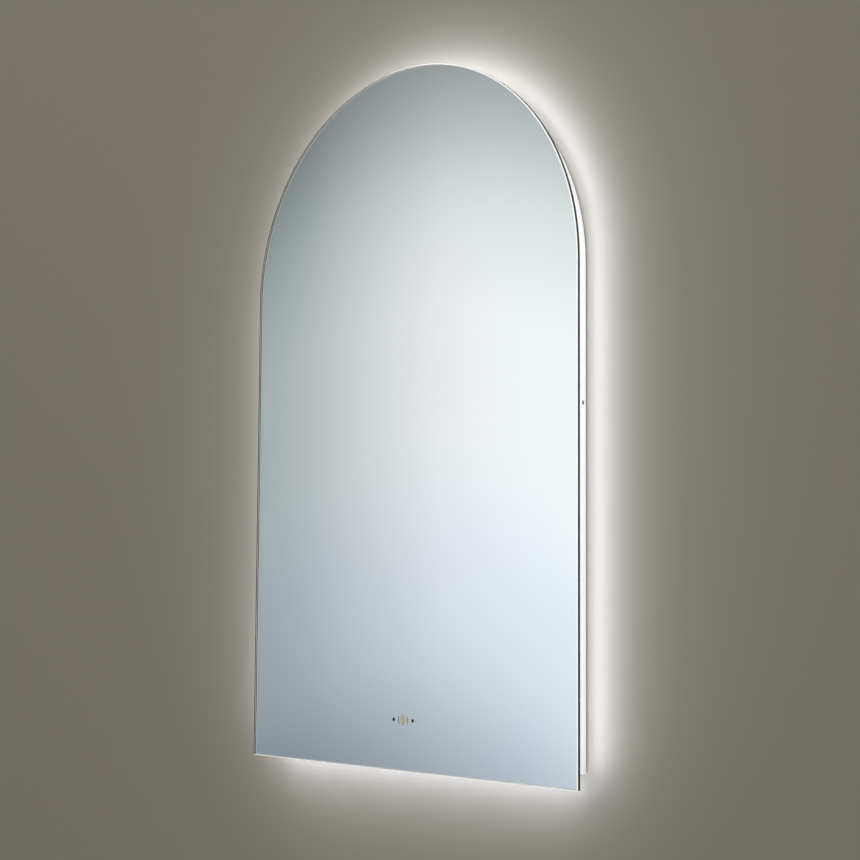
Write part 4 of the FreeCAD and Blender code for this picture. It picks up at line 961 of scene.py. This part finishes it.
def edge_lamps(name, chain, level, tone, only=None):
    """A chain of thin area lamps round the frame; with only, they light that collection alone."""
    offset, depth, width, turn = chain
    low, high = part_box("frame_arch")
    radius, spring = high.x + offset, high.z - high.x
    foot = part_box("frame_bottom")[0].z - offset
    step = math.pi / ARCH_LAMPS
    legs = (spring + foot) / 2
    # each lamp's bearing round the frame, centre and length: both legs, the bottom, then the arch
    places = [(0.0, (radius, depth, legs), spring - foot),
              (math.pi, (-radius, depth, legs), spring - foot),
              (-math.pi / 2, (0.0, depth, foot), 2 * radius)]
    for index in range(ARCH_LAMPS):
        around = (index + 0.5) * step
        centre = (radius * math.cos(around), depth, spring + radius * math.sin(around))
        places.append((around, centre, radius * step))
    for index, (around, centre, long) in enumerate(places):
        place = (Matrix.Translation(centre) @ Matrix.Rotation(-around, 4, "Y")
                 @ Matrix.Rotation(-turn, 4, "Z") @ FACING_ROOM)
        lamp = area_lamp(f"{name}_{index}", (width, long), level * math.pi * width * long, place, False)
        lamp.visible_camera = False
        lamp.data.color = tone
        if only:
            lamp.light_linking.receiver_collection = only


class MIRROR_OT_set_stage(bpy.types.Operator):
    """Plain wall and floor, soft lamps and the camera at the photograph's angle"""
    bl_idname = "mirror.set_stage"
    bl_label = "Stage"

    def execute(self, context):
        stage = context.scene.mirror_stage
        tall = stage.wall_top - stage.floor_level
        wall = stage_plane("wall", (0.0, WALL_BEHIND, stage.floor_level + tall / 2),
                           (2 * stage.wall_half, tall), FACING_ROOM, one_sided("plain_wall", stage.wall))
        floor = stage_plane("floor", (*FLOOR_MIDDLE, stage.floor_level), FLOOR_SIZE,
                            Matrix.Identity(4), one_sided("plain_floor", stage.floor))
        floor.visible_glossy = floor.visible_transmission = False
        card = stage_plane("reflected_card", CARD_CENTRE, CARD_SIZE, FACING_ROOM, reflected_card())
        card.visible_camera = card.visible_diffuse = card.visible_shadow = False
        set_world(stage)
        wall_only = bpy.data.collections.new("wall_only")
        wall_only.objects.link(wall)
        tone = context.scene.mirror_finishes.light
        edge_lamps("outward_lamp", OUTWARD_LAMPS, stage.glow_level, tone, only=wall_only)
        edge_lamps("gap_lamp", GAP_LAMPS, stage.gap_level, tone, only=wall_only)
        edge_lamps("rearward_lamp", REARWARD_LAMPS, stage.fill_level, tone)
        for name, (place, size, power, share, seen) in SOFTBOXES.items():
            turn = (SOFTBOX_AIM - Vector(place)).to_track_quat("-Z", "Y").to_matrix().to_4x4()
            area_lamp(name, (size, size), share * getattr(stage, power),
                      Matrix.Translation(place) @ turn, seen)
        lens = bpy.data.cameras.new("camera")
        lens.lens = stage.lens
        lens.clip_start = NEAR_CLIP
        camera = bpy.data.objects.new("camera", lens)
        turn = (Matrix.Rotation(stage.heading, 4, "Z") @ Matrix.Rotation(stage.tilt, 4, "X")
                @ Matrix.Rotation(stage.roll, 4, "Y") @ Matrix.Rotation(QUARTER, 4, "X"))
        camera.matrix_world = Matrix.Translation(stage.camera_place) @ turn
        context.scene.collection.objects.link(camera)
        context.scene.camera = camera
        context.scene.view_settings.view_transform = "Standard"
        return {"FINISHED"}


# ------------ panel, registration and run

OPERATORS = (MIRROR_OT_finish_glass, MIRROR_OT_add_silver_film, MIRROR_OT_add_touch_print,
             MIRROR_OT_finish_frame, MIRROR_OT_finish_light, MIRROR_OT_finish_hangers,
             MIRROR_OT_add_screws, MIRROR_OT_finish_electrics, MIRROR_OT_add_heater_track,
             MIRROR_OT_add_gland_details, MIRROR_OT_set_stage)
SETTINGS = {"mirror_finishes": MirrorFinishes, "mirror_fittings": MirrorFittings,
            "mirror_stage": MirrorStage}


class MIRROR_PT_finisher(bpy.types.Panel):
    """Buttons and settings, in the order in which main() uses them"""
    bl_idname = "MIRROR_PT_finisher"
    bl_label = "Mirror"
    bl_space_type = "VIEW_3D"
    bl_region_type = "UI"
    bl_category = "Mirror"

    def draw(self, context):
        for operator in OPERATORS:
            self.layout.operator(operator.bl_idname)
        for name in SETTINGS:
            settings = getattr(context.scene, name)
            box = self.layout.box()
            for key in settings.__annotations__:
                box.prop(settings, key)


def register():
    """Register the settings, the operators and the panel."""
    for name, group in SETTINGS.items():
        bpy.utils.register_class(group)
        setattr(bpy.types.Scene, name, PointerProperty(type=group))
    for cls in (*OPERATORS, MIRROR_PT_finisher):
        bpy.utils.register_class(cls)


def unregister():
    """Take back all that register() added."""
    for cls in (MIRROR_PT_finisher, *reversed(OPERATORS)):
        bpy.utils.unregister_class(cls)
    for name, group in reversed(SETTINGS.items()):
        delattr(bpy.types.Scene, name)
        bpy.utils.unregister_class(group)


def main():
    register()
    for operator in OPERATORS:
        area, name = operator.bl_idname.split(".")
        getattr(getattr(bpy.ops, area), name)()


if __name__ == "__main__":
    main()
